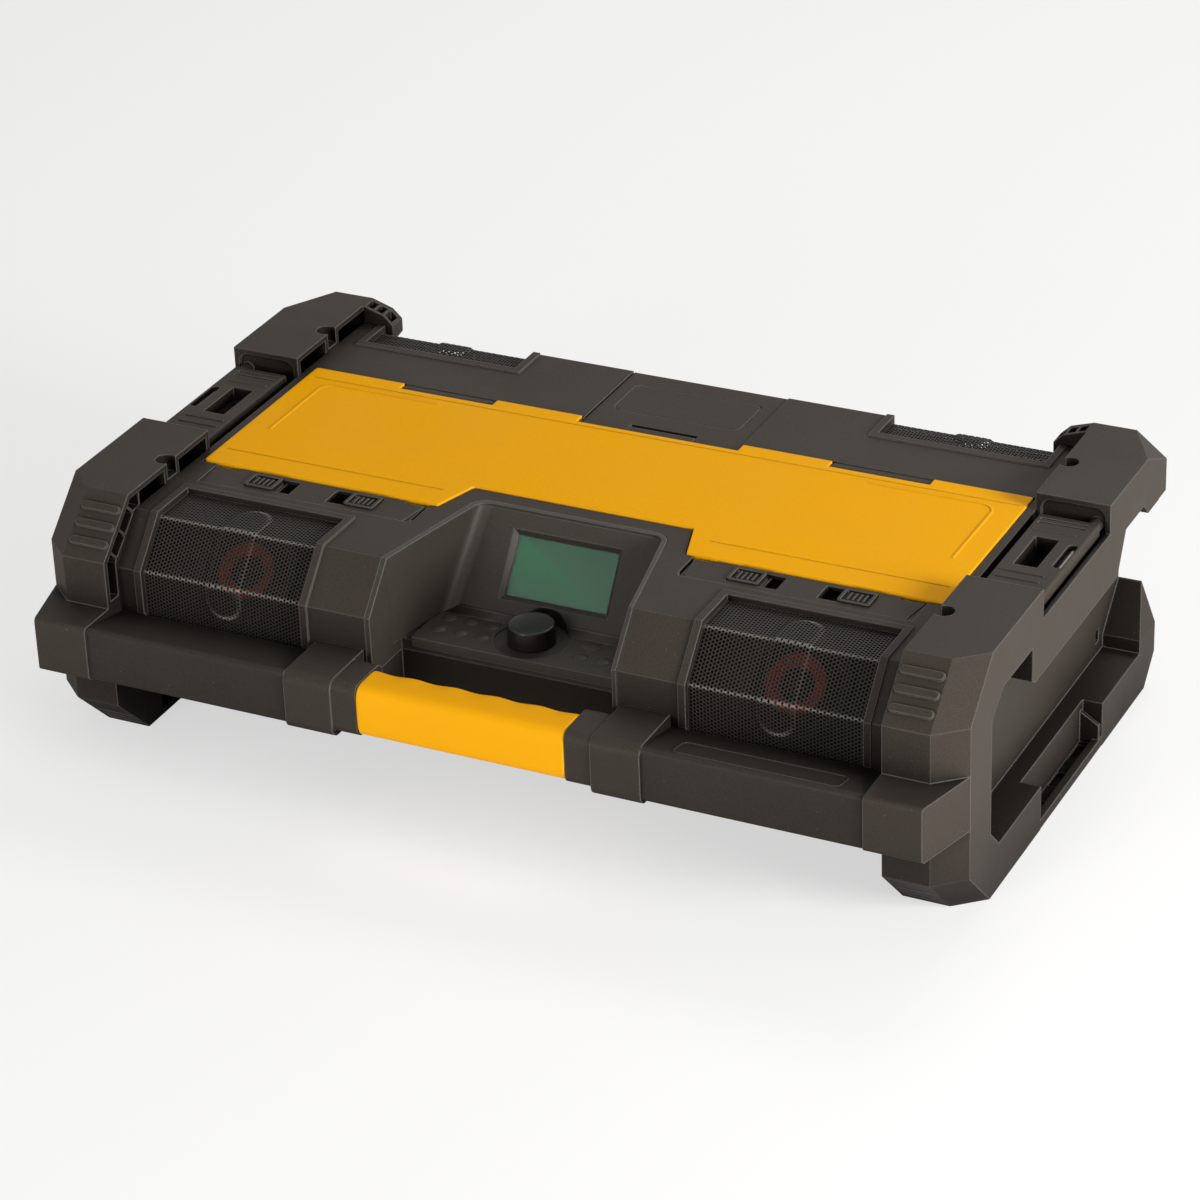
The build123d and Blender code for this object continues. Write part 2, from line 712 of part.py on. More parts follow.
def console_plan(grow):
    """Plan of the console recess, open to the front, grown by a wall thickness."""
    half_front = console_half_front + grow
    half_mid = console_half_mid + grow
    half_back = console_half_back + grow
    start, top, back = at(0), at(pod_top_d), at(console_back_d + grow)
    front = Polyline((half_front, top), (half_front, start), (-half_front, start), (-half_front, top))
    right = ThreePointArc((half_front, top), (half_mid, at(console_mid_d)), (half_back, back))
    left = ThreePointArc((-half_front, top), (-half_mid, at(console_mid_d)), (-half_back, back))
    return make_face(front + right + left + Line((half_back, back), (-half_back, back)))


def panel_depth(height, sink):
    """Depth of the sloping console panel at a height, moved back by sink along its normal."""
    lean = math.radians(panel_angle)
    return panel_foot_d + (height - ledge_z) / math.tan(lean) + sink / math.sin(lean)


def console_space(grow, low_z, corner_r):
    """The console recess as a solid, with rounded corners between its walls and the panel."""
    high_z = HEIGHT + 2
    space = extrude(Plane.XY.offset(low_z) * console_plan(grow), high_z - low_z)
    space &= side_prism([(-1, low_z - 1), (panel_depth(low_z - 1, grow), low_z - 1),
                         (panel_depth(high_z + 1, grow), high_z + 1), (-1, high_z + 1)], -shell_half,
                         shell_half)
    corners = [e for e in space.edges() if abs(e.tangent_at(0.5).Z) > 0.3 and e.center().Y > at(pod_top_d + 5)]
    return fillet(corners, corner_r)


lean_cos = math.cos(math.radians(panel_angle))
lean_sin = math.sin(math.radians(panel_angle))
panel_plane = Plane(origin=(0, at(panel_foot_d), ledge_z), x_dir=(1, 0, 0), z_dir=(0, -lean_sin, lean_cos))


def on_panel(rise, height, shape):
    """Place a shape on the console panel, rise up the slope and height above its face."""
    return panel_plane * Pos(0, rise, height) * shape


def console_insert():
    """Moulding of the console: side walls, sloping panel, ledge and knob well."""
    walls = console_space(wall, split_z, console_corner_r + wall)
    walls += rod_z(knob_x, knob_d, ledge_under_z, ledge_z + 2 * wall, knob_well_r + wall)
    walls &= side_prism(shell_profile(0, split_z), -shell_half, shell_half)
    walls -= console_cut()
    # the holes of the keys and of the knob shaft are in the keypad plate; here are its windows
    for x0, x1 in key_windows:
        walls -= block(x0, x1, key_rows[0] - key_window_edge, key_rows[1] + key_window_edge - 1.5, split_z,
                       ledge_z)
    return walls - rod_z(knob_x, knob_d, split_z, ledge_z, shaft_r + 2)


def console_cut():
    """Air of the console: the recess, the finger gap in front and the hollow under the ledge."""
    air = console_space(0, keypad_seat_z, console_corner_r)
    half = console_half_front
    air += block(-half, half, 0, ledge_front_d, split_z - 1, keypad_seat_z + 1)
    air += block(-half, half, ledge_front_d + wall, panel_depth(ledge_under_z, 0) - wall, split_z - 1,
                 ledge_under_z)
    air += rod_z(knob_x, knob_d, keypad_seat_z, HEIGHT, knob_well_r)
    # window with its bevel
    inner = Rectangle(2 * window_half, window_length)
    outer = Rectangle(2 * (window_half + window_bevel), window_length + 2 * window_bevel)
    air += loft([on_panel(window_rise, -wall - 0.1, inner), on_panel(window_rise, 0.1, outer)])
    return air


def grille_hole():
    """Openings for the right-hand front and rear grilles, through the wall only."""
    deep = 2 * wall
    front = side_prism([
        (0, grille_bottom_z), (0, HEIGHT), (grille_top_d, HEIGHT), (grille_top_d, deck_z - deep),
        (pod_top_d + deep, deck_z - deep), (pod_front_d + deep, pod_slope_z - deep),
        (pod_front_d + deep, grille_bottom_z)], grille_inner_x, grille_outer_x)
    rear = side_prism([
        (DEPTH, rear_grille_bottom_z), (DEPTH, HEIGHT), (rear_grille_d, HEIGHT),
        (rear_grille_d, deck_z - deep),
        (back_d - deep, deck_z - deep), (back_d - deep, rear_grille_bottom_z)], grille_inner_x,
        grille_outer_x)
    return front + rear


def grille_rims():
    """Raised rims at the sides and the top of the right-hand grille openings."""
    x0, x1 = grille_inner_x - rim_width, grille_outer_x + rim_width
    front = side_prism(shell_profile(-rim_proud, rim_bottom_z), x0, x1) & block(
        x0, x1, 0, grille_top_d + rim_width, 0, HEIGHT)
    rear = block(x0, x1, rear_grille_d - rim_width, back_d, split_z, deck_z + rim_proud)
    return front + rear - side_prism(shell_profile(wall / 2, split_z - 1), x0 - 1, x1 + 1)


def latch_channels():
    """Rebate of the right-hand strip, channels of its two latches and pockets of the lugs."""
    cut = block(strip_inner_x - seam, strip_outer_x + seam, strip_front_d - seam, lid_front_d,
                strip_under_z, HEIGHT)
    side = latch_flange + thumb_clearance
    for (x0, x1), (slot0, slot1), way in ((lug_inner, slot_inner, 1), (lug_outer, slot_outer, -1)):
        near = x0 - lug_clearance if way == 1 else x1 + lug_clearance
        far = slot1 + side if way == 1 else slot0 - side
        low, high = min(near, far), max(near, far)
        cut += block(low, high, slot_front_d - side, lid_front_d + lug_thickness + lug_clearance, channel_z,
                     HEIGHT)
        cut += block(x0 - lug_clearance, x1 + lug_clearance, lid_front_d - lug_clearance,
                     lid_front_d + lug_thickness + lug_clearance, lid_under_z - lug_length - seam, HEIGHT)
    return cut


def hinge_beam():
    """Beam behind the storage opening that carries the knuckles of the lid."""
    return block(-inner_side_x, inner_side_x, hinge_beam_front_d, hinge_beam_back_d, collar_z, deck_z - 1)


def lid_knuckles():
    """Right-hand knuckle between the barrels of the lid."""
    knuckle = rod_x(tab_inner, tab_outer, hinge_d, hinge_z, barrel_r)
    knuckle += block(tab_inner, tab_outer, hinge_d - barrel_r, hinge_d + barrel_r, collar_z, hinge_z)
    return knuckle


def barrel_pockets():
    """Room for the right-hand half of the lid's rear edge and barrels to turn."""
    x0, x1 = lid_middle_half - lid_gap, lid_half + lid_gap
    pockets = rod_x(x0, x1, hinge_d, hinge_z, lid_sweep_r + seam)
    return pockets + block(x0, x1, hinge_d - lid_sweep_r, hinge_d + lid_open_reach + seam, hinge_z, HEIGHT)


def door_bay():
    """What the centre door needs taken out of the deck and the rear wall."""
    reach = door_half + door_gap
    cut = block(-reach, reach, lid_middle_d + lid_gap, DEPTH, bay_frame_top_z, HEIGHT)
    cut += block(-reach, reach, door_axis_d - door_sweep_r, DEPTH, door_axis_z - door_sweep_r - seam,
                 HEIGHT)
    return cut


def door_supports():
    """Side walls and ledges that the battery bay rests on, and the knuckles of the door."""
    reach = door_half + door_gap
    front, seat = hinge_beam_back_d - 1, bay_frame_top_z - bay_frame_t
    supports = rod_x(-door_knuckle_outer, door_knuckle_outer, door_axis_d, door_axis_z, door_barrel_r)
    supports += block(-door_knuckle_outer, door_knuckle_outer, door_axis_d - door_foot, back_d - 1,
                      door_axis_z - door_foot_drop, door_axis_z - door_sweep_r - seam)
    supports += block(-door_knuckle_outer, door_knuckle_outer, door_axis_d - door_foot,
                      door_axis_d + door_foot,
                      door_axis_z - door_foot_drop, door_axis_z)
    inner = door_barrel_half + seam
    supports -= block(-inner, inner, 0, DEPTH, 0, HEIGHT)
    for side in (-1, 1):
        supports += block(side * reach, side * (reach + wall), front, back_d - 1, seat - wall, deck_z - 1)
        supports += block(side * (bay_half + bay_wall + seam), side * (reach + 1), front, bay_back_d,
                          seat - wall, seat)
    return supports - rod_x(-door_half, door_half, door_axis_d, door_axis_z, door_pin_r + running)


def top_housing():
    """Upper moulding: pods, console, deck, lid recess, latch channels and hinge knuckles."""
    shell = side_prism(shell_profile(0, split_z), -shell_half, shell_half)
    shell -= side_prism(shell_profile(wall, split_z - 1), -inner_side_x, inner_side_x)
    shell += both_sides(grille_rims())
    # floor of the lid recess, band under the strips, collar round the opening and hinge beam
    shell += plan_prism(lid_outline(lid_gap + wall / 2), recess_z - recess_floor, deck_z - 1)
    shell += both_sides(block(opening_notch_half, inner_side_x, strip_front_d - wall, opening_front_d,
                              front_band_z, deck_z - 1))
    shell += ring(0, wall, collar_z, deck_z - 1)
    shell += hinge_beam()
    shell -= plan_prism(lid_outline(lid_gap), recess_z, HEIGHT)
    shell -= plan_prism(opening_outline(0), collar_z - 1, deck_z - 1)
    shell -= ring(seal_inset, seal_inset + seal_width, recess_z - seal_depth, deck_z - 1)
    shell -= both_sides(barrel_pockets() + latch_channels() + grille_hole())
    shell += both_sides(lid_knuckles())
    shell -= rod_x(-inner_side_x + 1, inner_side_x - 1, hinge_d, hinge_z, lid_pin_r + running)
    shell -= door_bay()
    shell += door_supports()
    shell -= console_space(wall + seam, split_z - 1, console_corner_r + wall)
    shell -= rod_z(knob_x, knob_d, split_z, ledge_z + 2 * wall + seam, knob_well_r + wall + seam)
    # webs that carry the rear drivers, and bosses for the case screws
    web = block(grille_inner_x - 3 * wall, inner_side_x, rear_web_d, rear_web_d + wall, split_z,
                deck_z - wall)
    web -= block(grille_inner_x - grille_overlap - seam, grille_outer_x + grille_overlap + seam,
                 rear_web_d - 1,
                 back_d, deck_z - wall - grille_sheet - seam, deck_z)
    web -= rod_y(driver_x, rear_web_d - 1, rear_web_d + wall + 1, rear_driver_z, rear_cone_r + 2)
    shell += both_sides(web)
    for d in boss_depths:
        boss = rod_z(boss_x, d, split_z, collar_z + 1, boss_r)
        boss += block(boss_x, inner_side_x, d - wall / 2, d + wall / 2, split_z, collar_z + 1)
        boss -= rod_z(boss_x, d, split_z - 1, split_z + screw_length, screw_r + screw_clearance)
        shell += both_sides(boss)
    shell -= frame_screw_holes(split_z, HEIGHT)
    return shell


def frame_screw_holes(low_z, high_z):
    """Holes in the sides of the shell for the screws into the end frames."""
    holes = None
    for d, z in frame_screw_places:
        if low_z < z < high_z:
            hole = rod_x(inner_side_x - 1, frame_inner, d, z, screw_r + screw_clearance)
            holes = hole if holes is None else holes + hole
    return both_sides(holes)


left_keys = [key_left_x + i * key_pitch for i in range(3)]
key_windows = ((key_left_x - key_window_edge, left_keys[2] + key_window_edge),
               (key_right_x - oval_key_half - 2.5, key_right_x + key_pitch + key_window_edge))

keep("top_housing", top_housing())
keep("console_insert", console_insert())


def base_tub():
    """Lower moulding: floor, sloping front and back walls, and the recess behind the grip."""
    outline = [(pod_front_d, split_z), (pod_front_d, bar_bottom_z), (tub_front_d, tub_floor_z),
               (tub_back_d, tub_floor_z), (back_d, tub_floor_z + 16), (back_d, split_z)]
    solid = side_prism(outline, -shell_half, shell_half)
    raised = Polygon(*[(at(d), z + (wall if z == split_z else 0)) for d, z in outline], align=None)
    room = extrude(Plane.YZ.offset(-inner_side_x) * offset(raised, -wall), 2 * inner_side_x, dir=(1, 0, 0))
    tub = solid - room - block(-inner_side_x, inner_side_x, pod_front_d + wall, back_d - wall,
                               bar_bottom_z + 2, split_z + 1)
    half = console_half_front
    tub += solid & block(-half - wall, half + wall, 0, ledge_front_d + wall, 0, split_z)
    tub -= block(-half, half, 0, ledge_front_d, 0, split_z + 1)
    for d in boss_depths:
        boss = rod_z(boss_x, d, tub_floor_z, split_z, boss_r)
        boss += block(boss_x, inner_side_x, d - wall / 2, d + wall / 2, tub_floor_z, split_z)
        boss -= rod_z(boss_x, d, 0, split_z + 1, screw_r + screw_clearance)
        boss -= rod_z(boss_x, d, 0, split_z - screw_length / 2, screw_head_r + screw_clearance)
        tub -= both_sides(rod_z(boss_x, d, 0, tub_inside_z, boss_r - 0.1))
        tub += both_sides(boss)
    for x, d in board_posts:
        tub += rod_z(x, d, tub_floor_z + 1, board_z, board_boss_r)
    return tub - frame_screw_holes(0, split_z)


board_half = (85.0, 45.0)
board_d = 215.0
board_posts = [(sx * (board_half[0] - 8), board_d + sy * (board_half[1] - 8)) for sx in (-1,
                                                                                         1) for sy in (-1,
                                                                                                       1)]

keep("base_tub", base_tub())


# ---- front bar, sleeves, handle and grip --------------------------------------------------------
def front_rail():
    """Right-hand beam between the sleeve and the end frame, its top falling towards the grille."""
    front, back, back_top_z = rail_inset, pod_front_d, bar_top_z - rail_fall
    rail = side_prism([(front, bar_bottom_z), (front, bar_top_z), (back, back_top_z), (back, bar_bottom_z)],
                      rail_inner_x, frame_inner)
    rail = fillet(rail.edges().filter_by(Axis.X).sort_by(Axis.Y)[:2], rail_edge_r)
    room = side_prism([
        (front + wall, bar_bottom_z - 1), (front + wall, bar_top_z - 1.5 * wall),
        (back - wall, back_top_z - wall), (back - wall, bar_bottom_z - 1)],
        rail_inner_x + wall, frame_inner - wall)
    return rail - room


def handle_core():
    """Bar under the soft grip."""
    core = Pos(0, at(grip_depth / 2), bar_middle_z) * Box(2 * grip_half + 2, core_depth, core_height)
    return fillet(core.edges().filter_by(Axis.X), core_edge_r)


def front_handle():
    """Sleeves with their arms back to the pods, collars and the core under the grip."""
    sleeve = block(sleeve_inner_x, rail_inner_x, 0, pod_front_d, bar_bottom_z - sleeve_proud, bar_top_z)
    sleeve = fillet(sleeve.edges().filter_by(Axis.X).sort_by(Axis.Y)[:2], sleeve_edge_r)
    sleeve -= block(sleeve_inner_x + wall, rail_inner_x - wall, sleeve_edge_r + wall, pod_front_d - wall,
                    bar_bottom_z - sleeve_proud - 1, bar_top_z - wall)
    collar = block(grip_half, sleeve_inner_x + 1, collar_step, grip_depth + 2 * wall,
                   bar_bottom_z + collar_step,
                   bar_top_z - collar_step / 2)
    collar = fillet(collar.edges().filter_by(Axis.X), collar_edge_r)
    return both_sides(sleeve + collar) + handle_core()


def handle_grip():
    """Soft sleeve round the core."""
    grip = block(-grip_half, grip_half, collar_step / 2, grip_depth, bar_bottom_z + 2 * collar_step,
                 bar_top_z - collar_step / 2)
    grip = fillet(grip.edges().filter_by(Axis.X), grip_edge_r)
    return grip - handle_core()


keep_pair("front_rail", front_rail())
keep("front_handle", front_handle())
keep("handle_grip", handle_grip())


# ---- grilles, baffles and drivers ---------------------------------------------------------------
def folded_sheet(outer, inner, x0, x1):
    """Sheet between two outlines that follow the same folds."""
    return side_prism(outer + inner[::-1], x0, x1)


def front_sheet(face, thickness, grow):
    """Folded sheet against the inside of the pod wall."""
    low, high = grille_bottom_z - grow, grille_top_d + grow
    outer = shell_profile(face, low)[:3] + [(high, deck_z - face)]
    inner = shell_profile(face + thickness, low)[:3] + [(high, deck_z - face - thickness)]
    return folded_sheet(outer, inner, grille_inner_x - grow, grille_outer_x + grow)


def rear_sheet():
    """Folded sheet over the rear edge of the deck."""
    def line(inset):
        return [(rear_grille_d - grille_overlap, deck_z - inset), (back_d - inset, deck_z - inset),
                (back_d - inset, rear_grille_bottom_z - grille_overlap + 2)]
    return folded_sheet(line(wall), line(wall + grille_sheet), grille_inner_x - grille_overlap,
                        grille_outer_x + grille_overlap)


def on_baffle(shape):
    """Place a shape that points along +Z on the sloping face of the right-hand baffle."""
    return Pos(driver_x, at(driver_d), driver_z) * Rot(45, 0, 0) * shape


def speaker_baffle():
    """Plate at 45 degrees behind the front grille, from the front wall up to the deck."""
    rise = driver_z - driver_d
    back = rise - baffle_t * math.sqrt(2)
    front_d, top_z = pod_front_d + wall, deck_z - wall
    low_z = split_z + seam
    plate = side_prism([(low_z - rise, low_z), (low_z - back, low_z), (top_z - back, top_z),
                        (top_z - rise, top_z)], baffle_inner_x, inner_side_x - seam)
    plate &= side_prism([(front_d, low_z), (back_d, low_z), (back_d, top_z), (front_d, top_z)], baffle_inner_x,
                        inner_side_x - seam)
    plate -= front_sheet(wall - 1, grille_sheet + 1 + seam, grille_overlap + seam)
    return plate - on_baffle(Cylinder(driver_hole_r + seam, 8 * baffle_t))


def driver_frame():
    """Round basket with its flange and magnet."""
    profile = Polyline(
        (dust_r, -driver_hole_r * 0.75), (magnet_r, -driver_hole_r * 0.75), (magnet_r, -12),
        (driver_hole_r, -1),
        (driver_hole_r, 0), (driver_r, 0), (driver_r, driver_flange_t),
        (driver_hole_r - 2, driver_flange_t),
        (driver_hole_r - 2, 0), (dust_r, -12), close=True)
    basket = revolve(make_face(Plane.XZ * profile), Axis.Z)
    return basket + Pos(0, 0, -12 - magnet_length / 2) * Cylinder(magnet_r, magnet_length)


def driver_cone():
    """Cone with its surround and dust cap, resting inside the basket."""
    edge = driver_hole_r - 2 - seam
    profile = Polyline(
        (0, -11), (dust_r, -11), (edge - 4, 0.6), (edge, 0.6), (edge, 2), (ring_r + 2, 3), (ring_r, 1.5),
        (dust_r, -3), (0, -1), close=True)
    return revolve(make_face(Plane.XZ * profile), Axis.Z)


def rear_driver():
    """Small driver on the web behind the rear grille, facing backwards."""
    body = Cylinder(rear_cone_r + 5, 2.5, align=(Align.CENTER, Align.CENTER, Align.MIN))
    body += Pos(0, 0, -14) * Cylinder(rear_cone_r, 14, align=(Align.CENTER, Align.CENTER, Align.MIN))
    body += Pos(0, 0, -24) * Cylinder(rear_cone_r * 0.75, 11, align=(Align.CENTER, Align.CENTER, Align.MIN))
    body -= Pos(0, 0, -4) * Cone(dust_r * 0.8, rear_cone_r - 2, 7.2,
                                 align=(Align.CENTER, Align.CENTER, Align.MIN))
    return Pos(driver_x, at(rear_web_d + wall), rear_driver_z) * Rot(-90, 0, 0) * body


keep_pair("front_grille", front_sheet(sheet_face, grille_sheet, grille_overlap))
keep_pair("rear_grille", rear_sheet())
keep_pair("speaker_baffle", speaker_baffle())
keep_pair("front_driver", on_baffle(driver_frame()))
keep_pair("front_cone", on_baffle(driver_cone()))
keep_pair("rear_driver", rear_driver())


# ---- latch strips and slide latches -------------------------------------------------------------
def latch_strip():
    """Flush strip in front of the lid, with the slots of the two thumb slides."""
    strip = plan_prism([
        (strip_inner_x + strip_slant, strip_front_d), (strip_outer_x - strip_slant, strip_front_d),
        (strip_outer_x, strip_back_d), (strip_inner_x, strip_back_d)], strip_under_z, deck_z)
    for x0, x1 in (slot_inner, slot_outer):
        strip -= block(x0, x1, slot_front_d, slot_back_d, 0, HEIGHT)
    for x0, x1 in (lug_inner, lug_outer):
        strip -= block(x0 - lug_clearance, x1 + lug_clearance,
                       lid_front_d - 2 * lug_clearance - lug_thickness / 2,
                       lid_front_d, 0, HEIGHT)
    return strip


def slide_latch(slot, lug, way):
    """Thumb slide in its slot with a bolt that stops beside the lug; way is +1 for the inner one."""
    start = slot[0] + thumb_clearance if way == 1 else slot[1] - thumb_clearance
    end = start + way * thumb_length
    tip = lug[1] + bolt_gap if way == 1 else lug[0] - bolt_gap
    pad = block(start, end, slot_front_d + thumb_clearance, slot_back_d - thumb_clearance,
                flange_top_z - 1, deck_z + thumb_proud)
    pad = fillet(pad.edges().filter_by(Axis.Z), 2.0)
    pad -= block(start + way * thumb_frame, end - way * thumb_frame, slot_front_d + thumb_frame,
                 slot_back_d - thumb_frame, deck_z - 0.8, HEIGHT)
    step = (thumb_length - 2 * thumb_frame) / 5
    for i in range(1, 5):
        x = start + way * (thumb_frame + i * step)
        pad += block(x - 0.7, x + 0.7, slot_front_d + thumb_frame + 2, slot_back_d - thumb_frame - 2,
                     deck_z - 1, deck_z + thumb_proud - 0.4)
    flange = block(start, end + way * latch_flange, slot_front_d - latch_flange,
                   slot_back_d + latch_flange, flange_under_z, flange_top_z)
    bolt_d = lid_front_d + lug_thickness / 2
    bolt_low, bolt_high = flange_under_z - bolt_drop, flange_top_z - bolt_drop
    flange += block(end - way * thumb_length / 2, end, slot_back_d, bolt_d + bolt_width / 2, bolt_low,
                    bolt_high)
    flange += block(tip, end, bolt_d - bolt_width / 2, bolt_d + bolt_width / 2, bolt_low, bolt_high)
    return pad + flange


keep_pair("latch_strip", latch_strip())
keep_pair("lid_latch_inner", slide_latch(slot_inner, lug_inner, 1))
keep_pair("lid_latch_outer", slide_latch(slot_outer, lug_outer, -1))


# ---- storage lid, seal, tray and hinge pins -----------------------------------------------------
def lid_ridge():
    """Raised line near the right-hand end of the lid, bent round into the rear edge."""
    low, high = lid_top_z - 0.5, lid_top_z + ridge_proud
    frame = block(-ridge_x, ridge_x, 0, ridge_back_d, low, high)
    frame = fillet(frame.edges().filter_by(Axis.Z).sort_by(Axis.Y)[-2:], ridge_r)
    inner_x = ridge_x - ridge_width
    inner = block(-inner_x, inner_x, -1, ridge_back_d - ridge_width, low - 1, high + 1)
    frame -= fillet(inner.edges().filter_by(Axis.Z).sort_by(Axis.Y)[-2:], ridge_r - ridge_width)
    return frame & block(ridge_inner_x, WIDTH, ridge_front_d, DEPTH, low, high)


def storage_lid():
    """Lid plate with its groove, skirt, lugs and hinge barrels."""
    lid = plan_prism(lid_outline(0), lid_under_z, lid_top_z)
    corners = [e for e in lid.edges().filter_by(Axis.Z) if abs(e.center().X) > lid_half - 1]
    lid = fillet(corners, lid_corner_r)
    # shallow grooves parallel to the front and rear edges
    for d, x0 in ((groove_front_d, notch_half_front + 6), (groove_back_d, 0)):
        for side in (-1, 1):
            lid -= block(side * x0, side * groove_half, d, d + groove_width, lid_top_z - groove_depth,
                         HEIGHT)
    lid += both_sides(lid_ridge())
    skirt = plan_prism(opening_outline(-skirt_gap), lid_under_z - skirt_drop, lid_under_z + 0.5)
    skirt -= plan_prism(opening_outline(-skirt_gap - skirt_wall), 0, lid_under_z)
    lid += skirt
    for x0, x1 in ((lid_middle_half + 0.3, tab_inner - lid_gap), (tab_outer + lid_gap, lid_half - 0.3)):
        barrel = rod_x(x0, x1, hinge_d, hinge_z, barrel_r)
        barrel += block(x0, x1, hinge_d - barrel_r, lid_back_d, hinge_z, lid_under_z + 0.5)
        lid += both_sides(barrel)
    return lid - rod_x(-lid_half - 1, lid_half + 1, hinge_d, hinge_z, lid_pin_r + running)


def lid_lugs():
    """Slotted lugs under the front edge of the lid, two on each side."""
    lugs = []
    for x0, x1 in (lug_inner, lug_outer, (-lug_inner[1], -lug_inner[0]), (-lug_outer[1], -lug_outer[0])):
        lug = block(x0, x1, lid_front_d, lid_front_d + lug_thickness, lid_under_z - lug_length, lid_under_z)
        middle = (x0 + x1) / 2
        lugs.append(lug - block(middle - 1, middle + 1, 0, DEPTH, lid_under_z - lug_length + 1.2,
                                lid_under_z - 1))
    return Compound(lugs)


def storage_tray():
    """Open tray hung under the collar of the housing."""
    tray = plan_prism(opening_outline(tray_wall), tray_floor_z - tray_wall, collar_z)
    tray += plan_prism(opening_outline(tray_flange), collar_z - tray_wall, collar_z)
    return tray - plan_prism(opening_outline(0), tray_floor_z, collar_z + 1)


keep("storage_lid", storage_lid())
keep("lid_lugs", lid_lugs())
keep("lid_seal", ring(seal_inset + 0.05, seal_inset + seal_width - 0.05, recess_z - seal_depth, recess_z))
keep("storage_tray", storage_tray())
keep("lid_hinge_pins", both_sides(rod_x(lid_middle_half + 1.5, lid_half - 1, hinge_d, hinge_z, lid_pin_r)))


# ---- centre door and battery bay ----------------------------------------------------------------
def bay_door():
    """Door over the battery bay, hinged at the rear edge of the deck."""
    door = block(-door_half, door_half, door_front_d, back_d, door_under_z, door_top_z)
    door -= block(-catch_notch_half, catch_notch_half, door_front_d - 1, catch_notch_d, 0, HEIGHT)
    half, (d0, d1) = door_panel_half, door_panel_d
    frame = block(-half, half, d0, d1, door_top_z - groove_depth, HEIGHT)
    inner = block(-half + groove_width, half - groove_width, d0 + groove_width, d1 - groove_width, 0,
                  HEIGHT + 1)
    door -= fillet(frame.edges().filter_by(Axis.Z), 5.0) - fillet(inner.edges().filter_by(Axis.Z), 4.0)
    door -= block(-catch_half - catch_tongue - seam, catch_half + catch_tongue + seam, door_front_d + 1,
                  catch_notch_d - 1, catch_tongue_z - seam / 2, catch_tongue_z + catch_tongue_t + seam / 2)
    door += rod_x(-door_barrel_half, door_barrel_half, door_axis_d, door_axis_z, door_barrel_r)
    door += block(-door_barrel_half, door_barrel_half, door_axis_d - door_barrel_r,
                  door_axis_d + door_barrel_r,
                  door_axis_z, door_under_z + 0.5)
    return door - rod_x(-door_half, door_half, door_axis_d, door_axis_z, door_pin_r + running)


def door_catch():
    """Sliding catch in the notch of the door, held by a tongue at each end."""
    front = door_front_d + seam
    catch = block(-catch_half, catch_half, front, front + catch_depth, door_under_z, door_top_z)
    return catch + block(-catch_half - catch_tongue, catch_half + catch_tongue, front + 1.5,
                         front + catch_depth - 1,
                         catch_tongue_z, catch_tongue_z + catch_tongue_t)


def battery_bay():
    """Tub for the battery pack with the frame that it hangs by."""
    low, top = bay_frame_top_z - bay_frame_t, bay_frame_top_z
    reach = door_half + door_gap - seam
    bay = block(-bay_half - bay_wall, bay_half + bay_wall, bay_front_d - bay_wall, bay_back_d + bay_wall,
                bay_floor_z - bay_wall, low)
    bay += block(-reach, reach, hinge_beam_back_d + seam, door_axis_d - door_sweep_r - seam, low, top)
    return bay - block(-bay_half, bay_half, bay_front_d, bay_back_d, bay_floor_z, HEIGHT)


keep("bay_door", bay_door())
keep("door_catch", door_catch())
keep("door_hinge_pin", rod_x(-door_knuckle_outer + 1, door_knuckle_outer - 1, door_axis_d, door_axis_z,
                             door_pin_r))
keep("battery_bay", battery_bay())
terminal = block(-20, 20, bay_back_d - 9, bay_back_d, bay_floor_z, bay_floor_z + 22)
for x in (-12, 0, 12):
    terminal += block(x - 0.6, x + 0.6, bay_back_d - 21, bay_back_d - 8, bay_floor_z + 8, bay_floor_z + 16)
keep("battery_terminals", terminal)


# ---- console ------------------------------------------------------------------------------------
key_places = {f"key_{row}_{i + 1}": (x, d) for row, d in zip(("front", "back"), key_rows)
              for i, x in enumerate(left_keys)}
key_places["key_front_4"] = (key_right_x, key_rows[0])
key_places["key_front_5"] = (key_right_x + key_pitch, key_rows[0])
oval_place = (key_right_x, key_rows[1])


def key_form(grow, z0, z1):
    """Round key, or the hole for it with a clearance."""
    return Pos(0, 0, (z0 + z1) / 2) * Cylinder(key_r + grow, z1 - z0)


def oval_form(grow, z0, z1):
    """Oval key, or the hole for it with a clearance."""
    return extrude(Plane.XY.offset(z0) * SlotOverall(2 * (oval_key_half + grow), 2 * (key_r + grow)),
                   z1 - z0)


def push_key(form):
    """Key cap with the flange that keeps it under the plate."""
    flange_top = keypad_seat_z - key_clearance
    key = form(0, flange_top - key_flange_t, ledge_z + key_proud)
    key += form(key_flange, flange_top - key_flange_t, flange_top)
    return key + form(-1, ledge_under_z + key_travel + running, flange_top)


